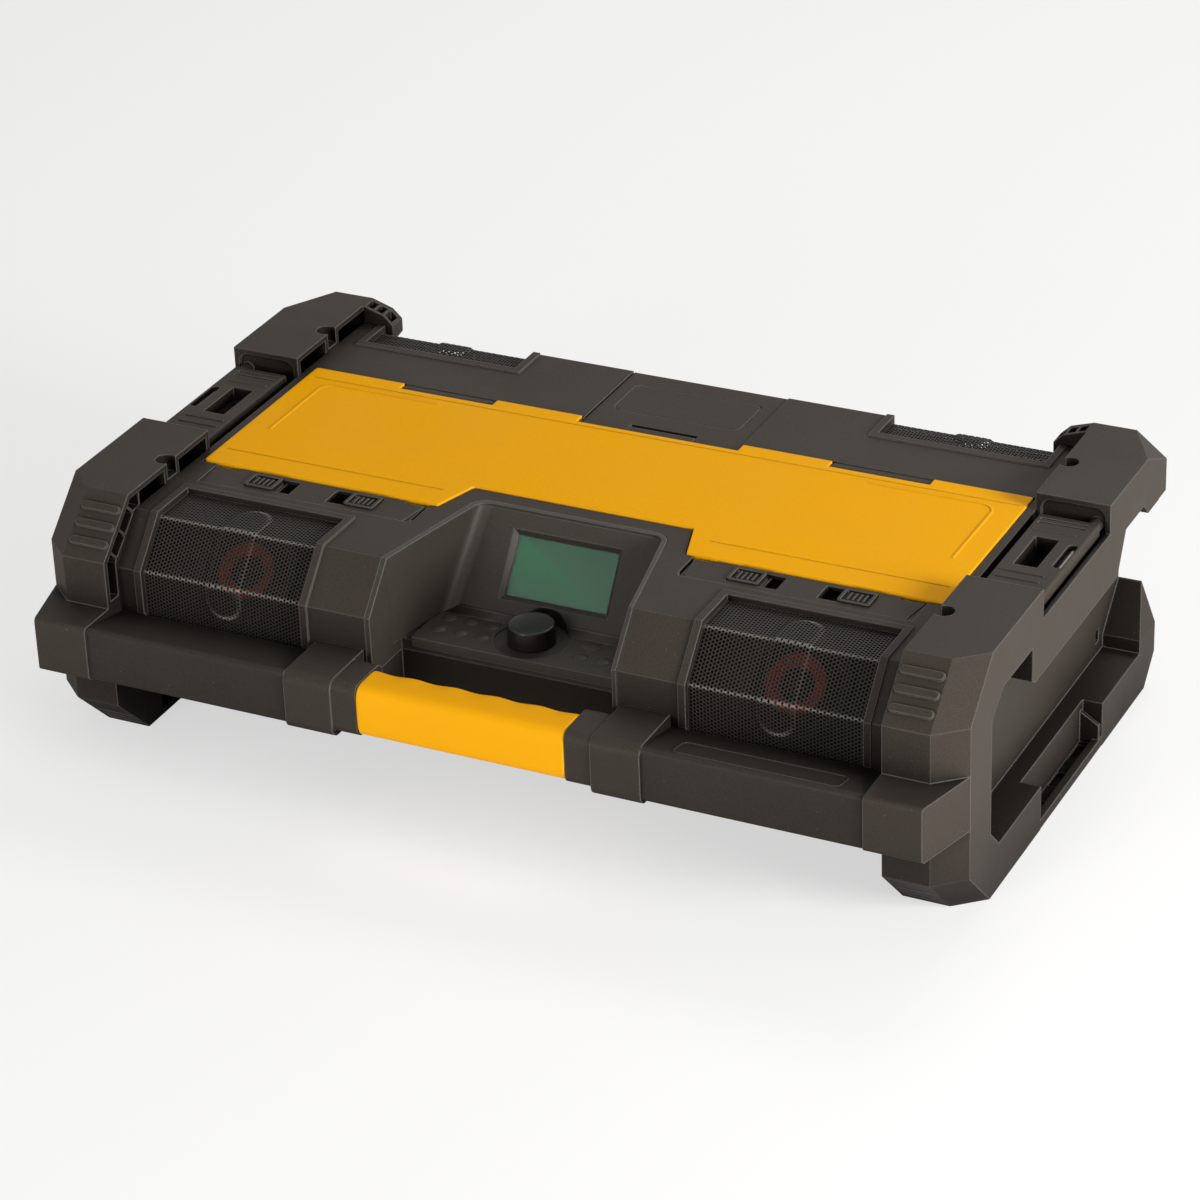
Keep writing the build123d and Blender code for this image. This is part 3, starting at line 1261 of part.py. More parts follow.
def keypad_plate():
    """Plate over the ledge, turned down over its front edge, with the knob well."""
    front_d = ledge_front_d - 1
    plate = block(-keypad_half, keypad_half, front_d, keypad_back_d, keypad_seat_z, ledge_z)
    plate = fillet(plate.edges().filter_by(Axis.Z).sort_by(Axis.Y)[-2:], 6.0)
    plate += block(-keypad_half, keypad_half, front_d, ledge_front_d, ledge_z - keypad_apron, ledge_z)
    plate &= console_space(-2 * seam, split_z, console_corner_r - seam)
    well_z = ledge_z - knob_well_depth
    plate -= rod_z(knob_x, knob_d, well_z, HEIGHT, knob_well_r)
    plate += rod_z(knob_x, knob_d, keypad_seat_z, well_z, knob_well_r - seam)
    plate -= rod_z(knob_x, knob_d, 0, HEIGHT, shaft_r + 1)
    for x, d in key_places.values():
        plate -= Pos(x, at(d), 0) * key_form(key_clearance, 0, HEIGHT)
    return plate - Pos(oval_place[0], at(oval_place[1]), 0) * oval_form(key_clearance, 0, HEIGHT)


keep("keypad_plate", keypad_plate())
for name, (x, d) in key_places.items():
    keep(name, Pos(x, at(d), 0) * push_key(key_form))
keep("key_oval", Pos(oval_place[0], at(oval_place[1]), 0) * push_key(oval_form))
window = Box(2 * (window_half + window_overlap), window_length + 2 * window_overlap, window_plate)
keep("display_window", on_panel(window_rise, -wall - window_plate / 2, window))
module = Box(2 * window_half + 2, window_length + 2, module_depth)
keep("display_module", on_panel(window_rise, -wall - window_plate - module_depth / 2, module))


def tuning_knob():
    """Turned knob with a blind bore for the encoder shaft."""
    low = ledge_z - knob_well_depth + knob_lift
    high = ledge_z + knob_height
    knob = Pos(knob_x, at(knob_d), low) * Cone(
        knob_r, knob_r - 0.5, high - low, align=(Align.CENTER, Align.CENTER, Align.MIN))
    knob = fillet(knob.edges().group_by(Axis.Z)[-1], knob_edge_r)
    return knob - rod_z(knob_x, knob_d, 0, low + shaft_depth, shaft_r)


keep("tuning_knob", tuning_knob())
encoder_top = ledge_under_z - board_t
keep("encoder_shaft", rod_z(knob_x, knob_d, encoder_top - encoder_height + 2,
                            ledge_z - knob_well_depth + knob_lift + shaft_depth, shaft_r))
encoder = Pos(knob_x, at(knob_d), encoder_top - encoder_height / 2) * Box(encoder_size, encoder_size,
                                                                          encoder_height)
keep("encoder_body", encoder - rod_z(knob_x, knob_d, encoder_top - encoder_height + 2 - running, HEIGHT,
                                     shaft_r + running))
key_board = block(-keypad_half + 1, key_windows[1][1], ledge_front_d + wall + 1,
                  panel_depth(ledge_under_z, 0) - wall - 1,
                  ledge_under_z - board_t, ledge_under_z)
key_board -= rod_z(knob_x, knob_d, 0, HEIGHT, shaft_r + 2)
keep("key_board", key_board)


# ---- electronics in the base --------------------------------------------------------------------
keep("main_board", block(-board_half[0], board_half[0], board_d - board_half[1], board_d + board_half[1],
                         board_z, board_z + board_t))
supply = block(*supply_x, *supply_d, tub_inside_z, tub_inside_z + supply_height)
keep("power_supply", fillet(supply.edges().filter_by(Axis.Z), 3.0))
sink = block(*sink_x, *sink_d, tub_inside_z, tub_inside_z + sink_plate)
for i in range(fin_count):
    x = sink_x[0] + fin_inset + i * fin_pitch
    sink += block(x, x + fin_t, *sink_d, tub_inside_z + sink_plate - 1, tub_inside_z + fin_height)
keep("heat_sink", sink)


# ---- screws -------------------------------------------------------------------------------------
def screw():
    """Pan-head screw pointing along +Z with the underside of its head at the origin."""
    head = Cylinder(screw_head_r, screw_head_h, align=(Align.CENTER, Align.CENTER, Align.MAX))
    return head + Cylinder(screw_r, screw_length - 1, align=(Align.CENTER, Align.CENTER, Align.MIN))


case_screws = [Pos(side * boss_x, at(d), split_z - screw_length / 2) * screw() for side in (-1,
                                                                                            1) for d in boss_depths]
case_screws += [Pos(side * inner_side_x, at(d), z) * Rot(0, side * 90, 0) * screw()
                for side in (-1, 1) for d, z in frame_screw_places]
keep("case_screws", Compound(case_screws))

os.makedirs("parts", exist_ok=True)
for name, shape in nodes.items():
    export_step(shape, f"parts/{name}.step")
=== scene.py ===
"""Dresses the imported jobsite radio: finishes, perforated grilles, soft grip, trims, stage and camera."""

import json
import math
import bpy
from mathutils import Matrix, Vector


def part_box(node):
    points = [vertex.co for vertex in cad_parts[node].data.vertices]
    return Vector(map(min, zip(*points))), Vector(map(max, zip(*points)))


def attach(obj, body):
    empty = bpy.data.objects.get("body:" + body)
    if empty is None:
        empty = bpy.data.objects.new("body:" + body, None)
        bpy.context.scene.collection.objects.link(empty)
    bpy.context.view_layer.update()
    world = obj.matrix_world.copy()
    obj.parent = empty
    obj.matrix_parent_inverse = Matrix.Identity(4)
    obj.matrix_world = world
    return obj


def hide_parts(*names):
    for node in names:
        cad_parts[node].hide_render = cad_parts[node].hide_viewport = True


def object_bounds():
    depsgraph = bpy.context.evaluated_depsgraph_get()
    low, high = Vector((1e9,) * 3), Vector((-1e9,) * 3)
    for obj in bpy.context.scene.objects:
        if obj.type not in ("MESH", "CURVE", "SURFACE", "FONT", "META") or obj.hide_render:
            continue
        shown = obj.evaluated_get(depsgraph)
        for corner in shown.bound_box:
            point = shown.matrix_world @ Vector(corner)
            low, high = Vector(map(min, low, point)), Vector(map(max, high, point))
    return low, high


bl_info = {
    "name": "Jobsite radio dressing",
    "version": (1, 0, 0),
    "blender": (4, 5, 0),
    "location": "3D View > Sidebar > Radio",
    "description": "Adds the finishes and fine pieces of a stackable jobsite radio to its packed frame",
    "category": "Object",
}

import bpy
import numpy as np
from bpy.props import FloatProperty, FloatVectorProperty, IntProperty, PointerProperty
from mathutils import Matrix, Vector

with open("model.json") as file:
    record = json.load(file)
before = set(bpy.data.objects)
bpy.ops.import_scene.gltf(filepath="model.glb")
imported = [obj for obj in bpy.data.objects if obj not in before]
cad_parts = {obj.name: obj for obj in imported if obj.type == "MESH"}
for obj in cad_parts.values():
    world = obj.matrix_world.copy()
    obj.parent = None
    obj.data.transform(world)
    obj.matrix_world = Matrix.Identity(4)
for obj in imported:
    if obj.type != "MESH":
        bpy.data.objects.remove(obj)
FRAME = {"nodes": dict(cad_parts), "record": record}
CAD_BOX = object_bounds()
SLOTS = {part["node"]: part["material_slot"] for part in FRAME["record"]["subparts"]}
SIDES = (("left", -1.0), ("right", 1.0))
MM = 0.001
NEAR = 0.01 * MM  # points this close count as level with each other
# nodes whose finish isn't that of their slot
OWN_FINISHES = {"console_insert": "console_smooth", "front_rail_left": "rail_shaded",
                "front_rail_right": "rail_shaded"}
FINISHES = {}


def linear(code):
    """Linear colour of an sRGB hex value."""
    parts = [int(code[i:i + 2], 16) / 255.0 for i in (1, 3, 5)]
    return tuple(v / 12.92 if v <= 0.04045 else ((v + 0.055) / 1.055) ** 2.4 for v in parts)


def number(name, description, default, **more):
    """A number property."""
    return FloatProperty(name=name, description=description, default=default, **more)


def length(name, description, millimetres):
    """A size property with its default given in millimetres."""
    return number(name, description, millimetres * MM, min=0.0, unit="LENGTH", precision=5)


def angle(name, description, degrees):
    """An angle property with its default given in degrees."""
    return number(name, description, math.radians(degrees), unit="ROTATION")


def colour(name, description, code):
    """A colour property with its default given as an sRGB hex value."""
    return FloatVectorProperty(name=name, description=description, default=linear(code), min=0.0, max=1.0,
                               subtype="COLOR")


# ---- values a user would change ----

class RadioFinishValues(bpy.types.PropertyGroup):
    """Colours and textures of the pieces."""
    housing: colour("Housing", "Warm black of the moulded case", "#3A342E")
    console: colour("Console", "Smoother black of the console and keypad", "#39352F")
    # darker than the housing, as painted shade that the pods cast over the rails
    rail: colour("Rail", "Darker black of the front rails", "#312D28")
    lid: colour("Lid", "Deep yellow of the storage lid", "#F2A900")
    grip: colour("Grip", "Yellow of the soft grip", "#E9A30E")
    mesh: colour("Mesh", "Paint of the perforated grilles", "#2B2824")
    ring: colour("Driver ring", "Red ring round the dust cap", "#9E3A2C")
    display: colour("Display", "Unlit display behind its window", "#3F8C61")
    edge_radius: length("Edge radius", "Rounding that the shading gives to moulded edges", 1.4)
    # painted shade: how far the case's recesses are darkened
    recess_shade: number("Recess", "How much darker the case is in its recesses", 0.75, min=0.0, max=1.0)
    grain: length("Grain", "Size of the eroded grain, coarser than the real 0.2 mm so that it shows", 0.9)


class RadioGrilleValues(bpy.types.PropertyGroup):
    """Sizes of the perforated sheets."""
    pitch: length("Pitch", "Distance between neighbouring holes", 2.5)
    hole: length("Hole", "Width of a hole", 1.8)
    margin: length("Margin", "Plain edge of the sheet, hidden behind the wall", 3.6)
    thickness: length("Thickness", "Thickness of the sheet", 0.8)
    bend: length("Bend radius", "Inner radius of the folds", 1.2)
    rib_half: length("Rib half width", "Half the width of the pressed rib in front of a driver", 11.7)
    rib_height: length("Rib height", "How far the pressed rib stands out", 1.3)
    rib_edge: length("Rib edge", "Width of the slope round the pressed rib", 4.0)
    # the two values below paint highlights along the folds and round the pressed rib
    fold_highlight: number("Fold rub", "How far the coat is rubbed along the folds", 0.45, min=0.0, max=1.0)
    rib_slope_highlight: number("Slope rub", "How far the coat is rubbed round the rib", 0.06, min=0.0, max=1.0)
    corners: IntProperty(name="Corners", description="Corners of each hole", default=12, min=6, max=24)


class RadioGripValues(bpy.types.PropertyGroup):
    """Sizes of the soft grip."""
    wave: length("Wave", "Depth of the finger waves behind the grip", 0.9)
    crests: IntProperty(name="Crests", description="Number of finger waves", default=5, min=1, max=12)
    fullness: number("Fullness", "Power of the section, 2 is an ellipse", 4.6, min=2.0, max=12.0)
    end_radius: length("End radius", "Rounding where the grip meets its collars", 0.8)


class RadioTrimValues(bpy.types.PropertyGroup):
    """Sizes of the small trim."""
    ring_inner: length("Ring inside", "Inner radius of the driver ring", 10.5)
    ring_outer: length("Ring outside", "Outer radius of the driver ring", 19.0)
    badge_length: length("Badge length", "Length of the bare badge on the right rail", 104.0)
    badge_depth: length("Badge depth", "Depth of the bare badge", 18.0)
    badge_corner: length("Badge corner", "Corner radius of the bare badge", 4.0)
    badge_bead: length("Badge bead", "Half the width of the bead round the bare badge", 0.7)
    badge_rise: length("Badge rise", "Height of the bead round the bare badge", 0.5)
    badge_inset: length("Badge inset", "From the front of the rail to the bare badge", 5.0)
    key_dome: length("Key dome", "Height of the dome of a key", 0.9)
    cove_radius: length("Cove radius", "Radius of the hollow rounding at the foot of the panel", 8.0)
    cove_foot: length("Cove foot", "From the front of the case to the foot of the panel", 119.5)
    cove_lean: angle("Cove lean", "Slope of the panel", 55.4)
    cove_half: length("Cove half length", "From the middle to the ends of the hollow rounding", 69.5)
    well_radius: length("Well radius", "Radius of the well of the knob", 23.7)
    strip_slant: length("Strip slant", "How far the ends of the latch strips slant", 4.0)
    cover_inner: length("Cover inside", "From the middle to the inner end of a hinge cover", 118.2)
    cover_outer: length("Cover outside", "From the middle to the outer end of a hinge cover", 184.3)
    cover_reach: length("Cover reach", "Radius of the hinge covers about the hinge of the lid", 3.95)
    bar_first: length("First bar", "From the front of a latch arm to its first bar", 22.5)
    bar_second: length("Second bar", "From the front of a latch arm to its second bar", 31.0)
    bar_third: length("Third bar", "From the front of a latch arm to its third bar", 86.0)
    bar_half: length("Bar half width", "Half the width of a bar across a latch arm", 1.0)
    bar_rise: length("Bar rise", "Height of a bar across a latch arm", 0.6)
    slot_inner: length("Slot floor inside", "From the middle to the inner edge of a slot floor", 292.5)
    slot_outer: length("Slot floor outside", "From the middle to the outer edge of a slot floor", 304.0)


class RadioStageValues(bpy.types.PropertyGroup):
    """Camera and light."""
    azimuth: angle("Azimuth", "Turn of the camera round the radio", 26.93839)
    elevation: angle("Elevation", "Height angle of the camera", 28.41357)
    roll: angle("Roll", "Roll of the camera", -2.24853)
    distance: length("Distance", "From the camera to the point it looks at", 2562.13)
    aim: FloatVectorProperty(name="Aim", description="Point that the camera looks at", unit="LENGTH",
                             default=(0.02059, -0.0378, 0.10283))
    focal: number("Focal length", "Focal length for a 36 mm sensor", 125.6, min=1.0)
    floor: colour("Floor", "Pale paper floor", "#F4F3F1")
    fill: number("Fill", "Strength of the even light from all round", 0.28, min=0.0, max=1.0)
    right_power: number("Right lamp", "Power of the lamp on the right", 66.0, min=0.0, unit="POWER")
    top_power: number("Top lamp", "Power of the lamp above and behind", 16.0, min=0.0, unit="POWER")
    front_power: number("Front lamp", "Power of the low lamp in front", 24.0, min=0.0, unit="POWER")


# ---- small helpers ----

def add(tree, kind, values=None, links=None, **settings):
    """Add a shader node, set its attributes and input values, link its inputs and return it."""
    node = tree.nodes.new(f"ShaderNode{kind}")
    for key, value in settings.items():
        setattr(node, key, value)
    for key, value in (values or {}).items():
        node.inputs[key].default_value = value
    for key, socket in (links or {}).items():
        tree.links.new(socket, node.inputs[key])
    return node


def finish(name, shader_values):
    """New material with one Principled shader; returns the material, its tree and the shader."""
    material = bpy.data.materials.new(name)
    material.use_nodes = True
    tree = material.node_tree
    shader = tree.nodes["Principled BSDF"]
    for key, value in shader_values.items():
        shader.inputs[key].default_value = value
    return material, tree, shader


def rgba(values):
    """Colour as the four numbers that a node's socket takes."""
    return (*values, 1.0)


def placed(name, data):
    """New object at the origin that shows the data in the scene."""
    piece = bpy.data.objects.new(name, data)
    bpy.context.scene.collection.objects.link(piece)
    return piece


def mesh_object(name, points, faces, finish_name, body, smooth=True):
    """Object at the origin from an array of points and a list of index arrays, riding on a body."""
    mesh = bpy.data.meshes.new(name)
    mesh.from_pydata(points.tolist(), [], [face.tolist() for part in faces for face in part])
    mesh.validate()
    if smooth:
        mesh.shade_smooth()
    mesh.materials.append(FINISHES[finish_name])
    piece = placed(name, mesh)
    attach(piece, body)
    return piece


def node_points(name):
    """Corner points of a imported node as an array."""
    mesh = FRAME["nodes"][name].data
    flat = np.empty(len(mesh.vertices) * 3)
    mesh.vertices.foreach_get("co", flat)
    return flat.reshape(-1, 3)


def grid_faces(rows, columns, closed=False):
    """Quads of a grid of rows by columns points; closed joins the last column to the first."""
    across = columns if closed else columns - 1
    i, j = np.meshgrid(np.arange(rows - 1) * columns, np.arange(across), indexing="ij")
    k = (j + 1) % columns
    return np.stack([i + j, i + k, i + columns + k, i + columns + j], -1).reshape(-1, 4)


# ---- finishes ----

def moulded(name, base, roughness, bump, edge_highlight, specks, gloss=0.07, tone=0.1, recess_shade=0.0):
    """Moulded plastic: rounded edges from the Bevel node, eroded grain, edges paled as a painted highlight
    and dust specks.

    bump is how strong the grain stands out; worn is how much the edges pale as a painted highlight, found
    where the rounded normal leaves the true one; specks is how much the dust shows; gloss is the specular
    level, low where the grain shadows itself; tone is how much the colour drifts over the moulding and
    between its grains; recess is how much painted shade darkens its recesses, found from the share of the
    open sky that they lack within 100 mm.
    """
    sizes = bpy.context.scene.radio_finish
    drift_size, dust_spacing = 71.43 * MM, 5.882 * MM
    material, tree, shader = finish(name, {"Roughness": roughness, "IOR": 1.5, "Specular IOR Level": gloss})
    place = add(tree, "TexCoord").outputs["Object"]
    fine = add(tree, "TexNoise", {"Scale": 1.0 / sizes.grain, "Detail": 2.0, "Roughness": 0.6},
               {"Vector": place})
    broad = add(tree, "TexNoise", {"Scale": 1.0 / drift_size, "Detail": 3.0, "Roughness": 0.55},
                {"Vector": place})
    dust = add(tree, "TexVoronoi", {"Scale": 1.0 / dust_spacing, "Randomness": 1.0}, {"Vector": place})
    round_normal = add(tree, "Bevel", {"Radius": sizes.edge_radius}, samples=6)
    true_normal = add(tree, "NewGeometry").outputs["Normal"]
    turn = add(tree, "VectorMath", None, {0: round_normal.outputs["Normal"], 1: true_normal},
               operation="DOT_PRODUCT")
    # painted highlight: the edges pale where the rounded normal turns away from the true one
    edge = add(tree, "MapRange", {"From Min": 0.99, "From Max": 0.82, "To Min": 0.0, "To Max": edge_highlight},
               {"Value": turn.outputs["Value"]})
    speck = add(tree, "MapRange", {"From Min": 0.045, "From Max": 0.02, "To Min": 0.0, "To Max": specks},
                {"Value": dust.outputs["Distance"]})
    cloud = add(tree, "MapRange", {"From Min": 0.35, "From Max": 0.7, "To Min": 1.0 - 0.5 * tone,
                                   "To Max": 1.0 + 0.5 * tone}, {"Value": broad.outputs["Fac"]})
    grit = add(tree, "MapRange", {"From Min": 0.3, "From Max": 0.7, "To Min": 1.0 - 1.6 * tone,
                                  "To Max": 1.0 + 1.8 * tone}, {"Value": fine.outputs["Fac"]})
    drift = add(tree, "Math", None, {0: cloud.outputs["Result"], 1: grit.outputs["Result"]},
                operation="MULTIPLY")
    # painted shade: the recesses darken by the share of open sky that they lack
    if recess_shade:
        sky = add(tree, "AmbientOcclusion", {"Distance": 0.1}, samples=6)
        depth = add(tree, "MapRange", {"From Min": 0.4, "From Max": 0.96, "To Min": 1.0 - recess_shade,
                                       "To Max": 1.0}, {"Value": sky.outputs["AO"]})
        drift = add(tree, "Math", None, {0: drift.outputs["Value"], 1: depth.outputs["Result"]},
                    operation="MULTIPLY")
    shade = add(tree, "VectorMath", {0: base}, {1: drift.outputs["Value"]}, operation="MULTIPLY")
    # pale colour of the painted edge highlight
    highlight_tint = tuple(min(1.0, v * 1.8 + 0.15) for v in base)
    highlit = add(tree, "Mix", {7: rgba(highlight_tint)}, {0: edge.outputs["Result"], 6: shade.outputs["Vector"]},
                 data_type="RGBA")
    dusty = add(tree, "Mix", {7: rgba(linear("#8C8478"))},
                {0: speck.outputs["Result"], 6: highlit.outputs[2]}, data_type="RGBA")
    tree.links.new(dusty.outputs[2], shader.inputs["Base Color"])
    matt = add(tree, "MapRange", {"From Min": 0.3, "From Max": 0.7, "To Min": roughness - 0.06,
                                  "To Max": roughness + 0.08}, {"Value": broad.outputs["Fac"]})
    tree.links.new(matt.outputs["Result"], shader.inputs["Roughness"])
    relief = add(tree, "Bump", {"Strength": bump, "Distance": 0.12 * MM},
                 {"Height": fine.outputs["Fac"], "Normal": round_normal.outputs["Normal"]})
    tree.links.new(relief.outputs["Normal"], shader.inputs["Normal"])
    return material


def plain_metal(name, base, roughness, stroke):
    """Metal with fine strokes along X from turning or drawing; stroke is their spacing."""
    material, tree, shader = finish(name, {"Metallic": 1.0, "Base Color": rgba(base), "Roughness": roughness})
    place = add(tree, "TexCoord").outputs["Object"]
    stroke_length = 125 * MM
    scale = (1.0 / stroke_length, 1.0 / stroke, 1.0 / stroke)
    along = add(tree, "Mapping", {"Scale": scale}, {"Vector": place})
    lines = add(tree, "TexNoise", {"Scale": 1.0, "Detail": 2.0}, {"Vector": along.outputs["Vector"]})
    relief = add(tree, "Bump", {"Strength": 0.25, "Distance": 0.05 * MM}, {"Height": lines.outputs["Fac"]})
    tree.links.new(relief.outputs["Normal"], shader.inputs["Normal"])
    return material


def powder_paint(name, base):
    """Black powder paint on sheet steel: a low gloss with the fine orange peel of the baked coat.

    The sheet's own attribute "rub" pales the folds and the pressed rib with a painted highlight.
    """
    material, tree, shader = finish(name, {"Roughness": 0.45, "IOR": 1.5, "Specular IOR Level": 0.12})
    place = add(tree, "TexCoord").outputs["Object"]
    # coarser than the real 0.5 mm so that it shows
    peel_size = 1.111 * MM
    peel = add(tree, "TexNoise", {"Scale": 1.0 / peel_size, "Detail": 1.0}, {"Vector": place})
    tone = add(tree, "MapRange", {"To Min": 0.85, "To Max": 1.2}, {"Value": peel.outputs["Fac"]})
    shade = add(tree, "VectorMath", {0: base}, {1: tone.outputs["Result"]}, operation="MULTIPLY")
    # painted highlight along the folds and round the pressed rib, read from the sheet's attribute
    rub = add(tree, "Attribute", attribute_name="rub")
    highlight_tint = add(tree, "Mix", {7: rgba(linear("#9A958C"))},
                {0: rub.outputs["Fac"], 6: shade.outputs["Vector"]}, data_type="RGBA")
    tree.links.new(highlight_tint.outputs[2], shader.inputs["Base Color"])
    relief = add(tree, "Bump", {"Strength": 0.2, "Distance": 0.08 * MM}, {"Height": peel.outputs["Fac"]})
    tree.links.new(relief.outputs["Normal"], shader.inputs["Normal"])
    return material


def soft_rubber(name, base, roughness):
    """Overmoulded soft grip: matt, with a fine leathery grain and a slight darkening where hands rub."""
    # the grain is coarser than the real 0.3 mm so that it shows
    grain_size, smudge_size = 0.909 * MM, 38.46 * MM
    material, tree, shader = finish(name, {"Roughness": roughness, "IOR": 1.45, "Specular IOR Level": 0.05})
    place = add(tree, "TexCoord").outputs["Object"]
    grain = add(tree, "TexVoronoi", {"Scale": 1.0 / grain_size}, {"Vector": place})
    cloud = add(tree, "TexNoise", {"Scale": 1.0 / smudge_size, "Detail": 3.0}, {"Vector": place})
    tone = add(tree, "MapRange", {"From Min": 0.3, "From Max": 0.7, "To Min": 0.985, "To Max": 1.01},
               {"Value": cloud.outputs["Fac"]})
    shade = add(tree, "VectorMath", {0: base}, {1: tone.outputs["Result"]}, operation="MULTIPLY")
    tree.links.new(shade.outputs["Vector"], shader.inputs["Base Color"])
    relief = add(tree, "Bump", {"Strength": 0.25, "Distance": 0.08 * MM},
                 {"Height": grain.outputs["Distance"]})
    tree.links.new(relief.outputs["Normal"], shader.inputs["Normal"])
    return material


def window_glass(name):
    """Clear acrylic window over the display."""
    material, _, _ = finish(name, {"Base Color": rgba(linear("#E4F2EC")), "Roughness": 0.06, "IOR": 1.49,
                                   "Transmission Weight": 1.0, "Specular IOR Level": 0.2})
    return material


def make_finishes():
    """All finishes, keyed by the material slots of the record or by names of their own."""
    values = bpy.context.scene.radio_finish
    housing, console, recess_shade = tuple(values.housing), tuple(values.console), values.recess_shade
    return {
        # ABS from a spark-eroded mould: matt and grainy, edges paled as a painted highlight, painted shade in
        # its recesses
        "black_moulding": moulded("abs_spark_eroded", housing, 0.5, 0.6, 0.5, 0.7, recess_shade=recess_shade),
        # ABS from a fine mould: even colour under a broad soft highlight
        "yellow_moulding": moulded("abs_yellow_satin", tuple(values.lid), 0.42, 0.12, 0.1, 0.05, 0.03, 0.02),
        # soft elastomer moulded over the bar: matt and leathery
        "yellow_grip": soft_rubber("tpe_yellow_grip", tuple(values.grip), 0.62),
        # punched sheet steel under baked powder paint: low gloss, with painted highlights along the folds and
        # the rib
        "black_mesh": powder_paint("steel_powder_coated", tuple(values.mesh)),
        # ABS from a polished mould: near black with tight highlights
        "dark_control": moulded("abs_knob_satin", linear("#191715"), 0.3, 0.15, 0.35, 0.2, 0.3),
        # ABS of the console's colour, moulded matt: fine grain and a dull sheen
        "keypad_black": moulded("abs_keypad_matt", console, 0.45, 0.3, 0.35, 0.25, 0.16),
        # cast acrylic: clear, with sharp reflections
        "display_glass": window_glass("acrylic_window"),
        # liquid crystal without its light: flat, dull green
        "display_green": moulded("lcd_unlit", tuple(values.display), 0.35, 0.0, 0.0, 0.6, 0.03, 0.0),
        # drawn steel of pins and screws: plain grey with fine strokes
        "steel": plain_metal("steel_bright", linear("#605E59"), 0.45, 0.4 * MM),
        # stamped steel dipped in paint: smooth, satin black
        "driver_steel": moulded("steel_painted_black", linear("#2B2B2B"), 0.4, 0.2, 0.3, 0.0),
        # pressed paper: dull and fibrous
        "cone_black": moulded("paper_cone", linear("#1E1B1A"), 0.75, 0.8, 0.0, 0.0),
        # rubber foamed in a strip: dull, with fine pores
        "seal_rubber": moulded("foam_rubber", linear("#1C1C1C"), 0.8, 0.8, 0.0, 0.0),
        # moulded polypropylene: waxy and a little smoother than the case
        "tray_black": moulded("polypropylene_tray", linear("#242220"), 0.48, 0.3, 0.3, 0.2),
        # solder mask screened on a board: satin green
        "board_green": moulded("solder_mask", linear("#1E5A38"), 0.35, 0.1, 0.0, 0.0),
        # extruded aluminium: pale, with strokes along its length
        "heat_alloy": plain_metal("aluminium_extruded", linear("#C4C6C8"), 0.4, 0.5 * MM),
        # moulded rubber of the driver ring: soft, dull red
        "driver_ring": moulded("rubber_red_ring", tuple(values.ring), 0.5, 0.2, 0.0, 0.0),
        # ABS of the console from a finer mould: smoother, with tighter highlights
        "console_smooth": moulded("abs_console_smooth", console, 0.38, 0.25, 0.45, 0.3, 0.15,
                                  recess_shade=0.5 * recess_shade),
        # ABS of the rails: the case's grain on a darker black that paints the shade the pods cast over the
        # rails
        "rail_shaded": moulded("abs_rail_eroded_shaded", tuple(values.rail), 0.5, 0.6, 0.6, 0.7, recess_shade=recess_shade),
    }


class RADIO_OT_finishes(bpy.types.Operator):
    """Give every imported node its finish"""
    bl_idname = "radio.finishes"
    bl_label = "Finishes"

    def execute(self, context):
        FINISHES.update(make_finishes())
        for name, slot in SLOTS.items():
            mesh = FRAME["nodes"][name].data
            mesh.materials.clear()
            mesh.materials.append(FINISHES[OWN_FINISHES.get(name, slot)])
        return {"FINISHED"}


# ---- perforated grilles ----

def fold_path(corners, bend):
    """Lengths, places and outward normals along a profile of (y, z) corners whose folds are arcs.

    Each corner is replaced by an arc of radius bend that touches both of its runs, sampled in eight steps;
    the normal at a sample is the run's tangent turned by a quarter, so that it points out of the case.
    """
    points = [corners[0]]
    for before, corner, after in zip(corners[:-2], corners[1:-1], corners[2:]):
        one = (before - corner) / np.linalg.norm(before - corner)
        two = (after - corner) / np.linalg.norm(after - corner)
        half = math.acos(np.clip(one @ two, -1.0, 1.0)) / 2
        reach = bend / math.tan(half)
        middle = corner + (one + two) / np.linalg.norm(one + two) * (bend / math.sin(half))
        start, end = corner + one * reach - middle, corner + two * reach - middle
        share = np.linspace(0.0, 1.0, 9)[:, None]
        arc = start * (1 - share) + end * share
        arc *= bend / np.linalg.norm(arc, axis=1, keepdims=True)
        points.extend(middle + arc)
    points.append(corners[-1])
    places = np.array(points)
    steps = np.diff(places, axis=0)
    runs = np.linalg.norm(steps, axis=1)
    tangent = np.vstack([steps / runs[:, None], steps[-1:] / runs[-1]])
    tangent[1:-1] += tangent[:-2]
    tangent /= np.linalg.norm(tangent, axis=1, keepdims=True)
    normal = np.stack([-tangent[:, 1], tangent[:, 0]], -1)
    return np.concatenate([[0.0], np.cumsum(runs)]), places, normal


def pressed_rib(u, s, centre, low, high, values):
    """Height of the pressed rib: a smooth step from its full height inside a stadium to zero outside.

    The distance to the stadium is that to the segment from (centre, low) to (centre, high) less its radius.
    """
    away = np.hypot(u - centre, s - np.clip(s, low, high)) - values.rib_half
    share = np.clip(0.5 - away / values.rib_edge, 0.0, 1.0)
    return values.rib_height * share * share * (3.0 - 2.0 * share)


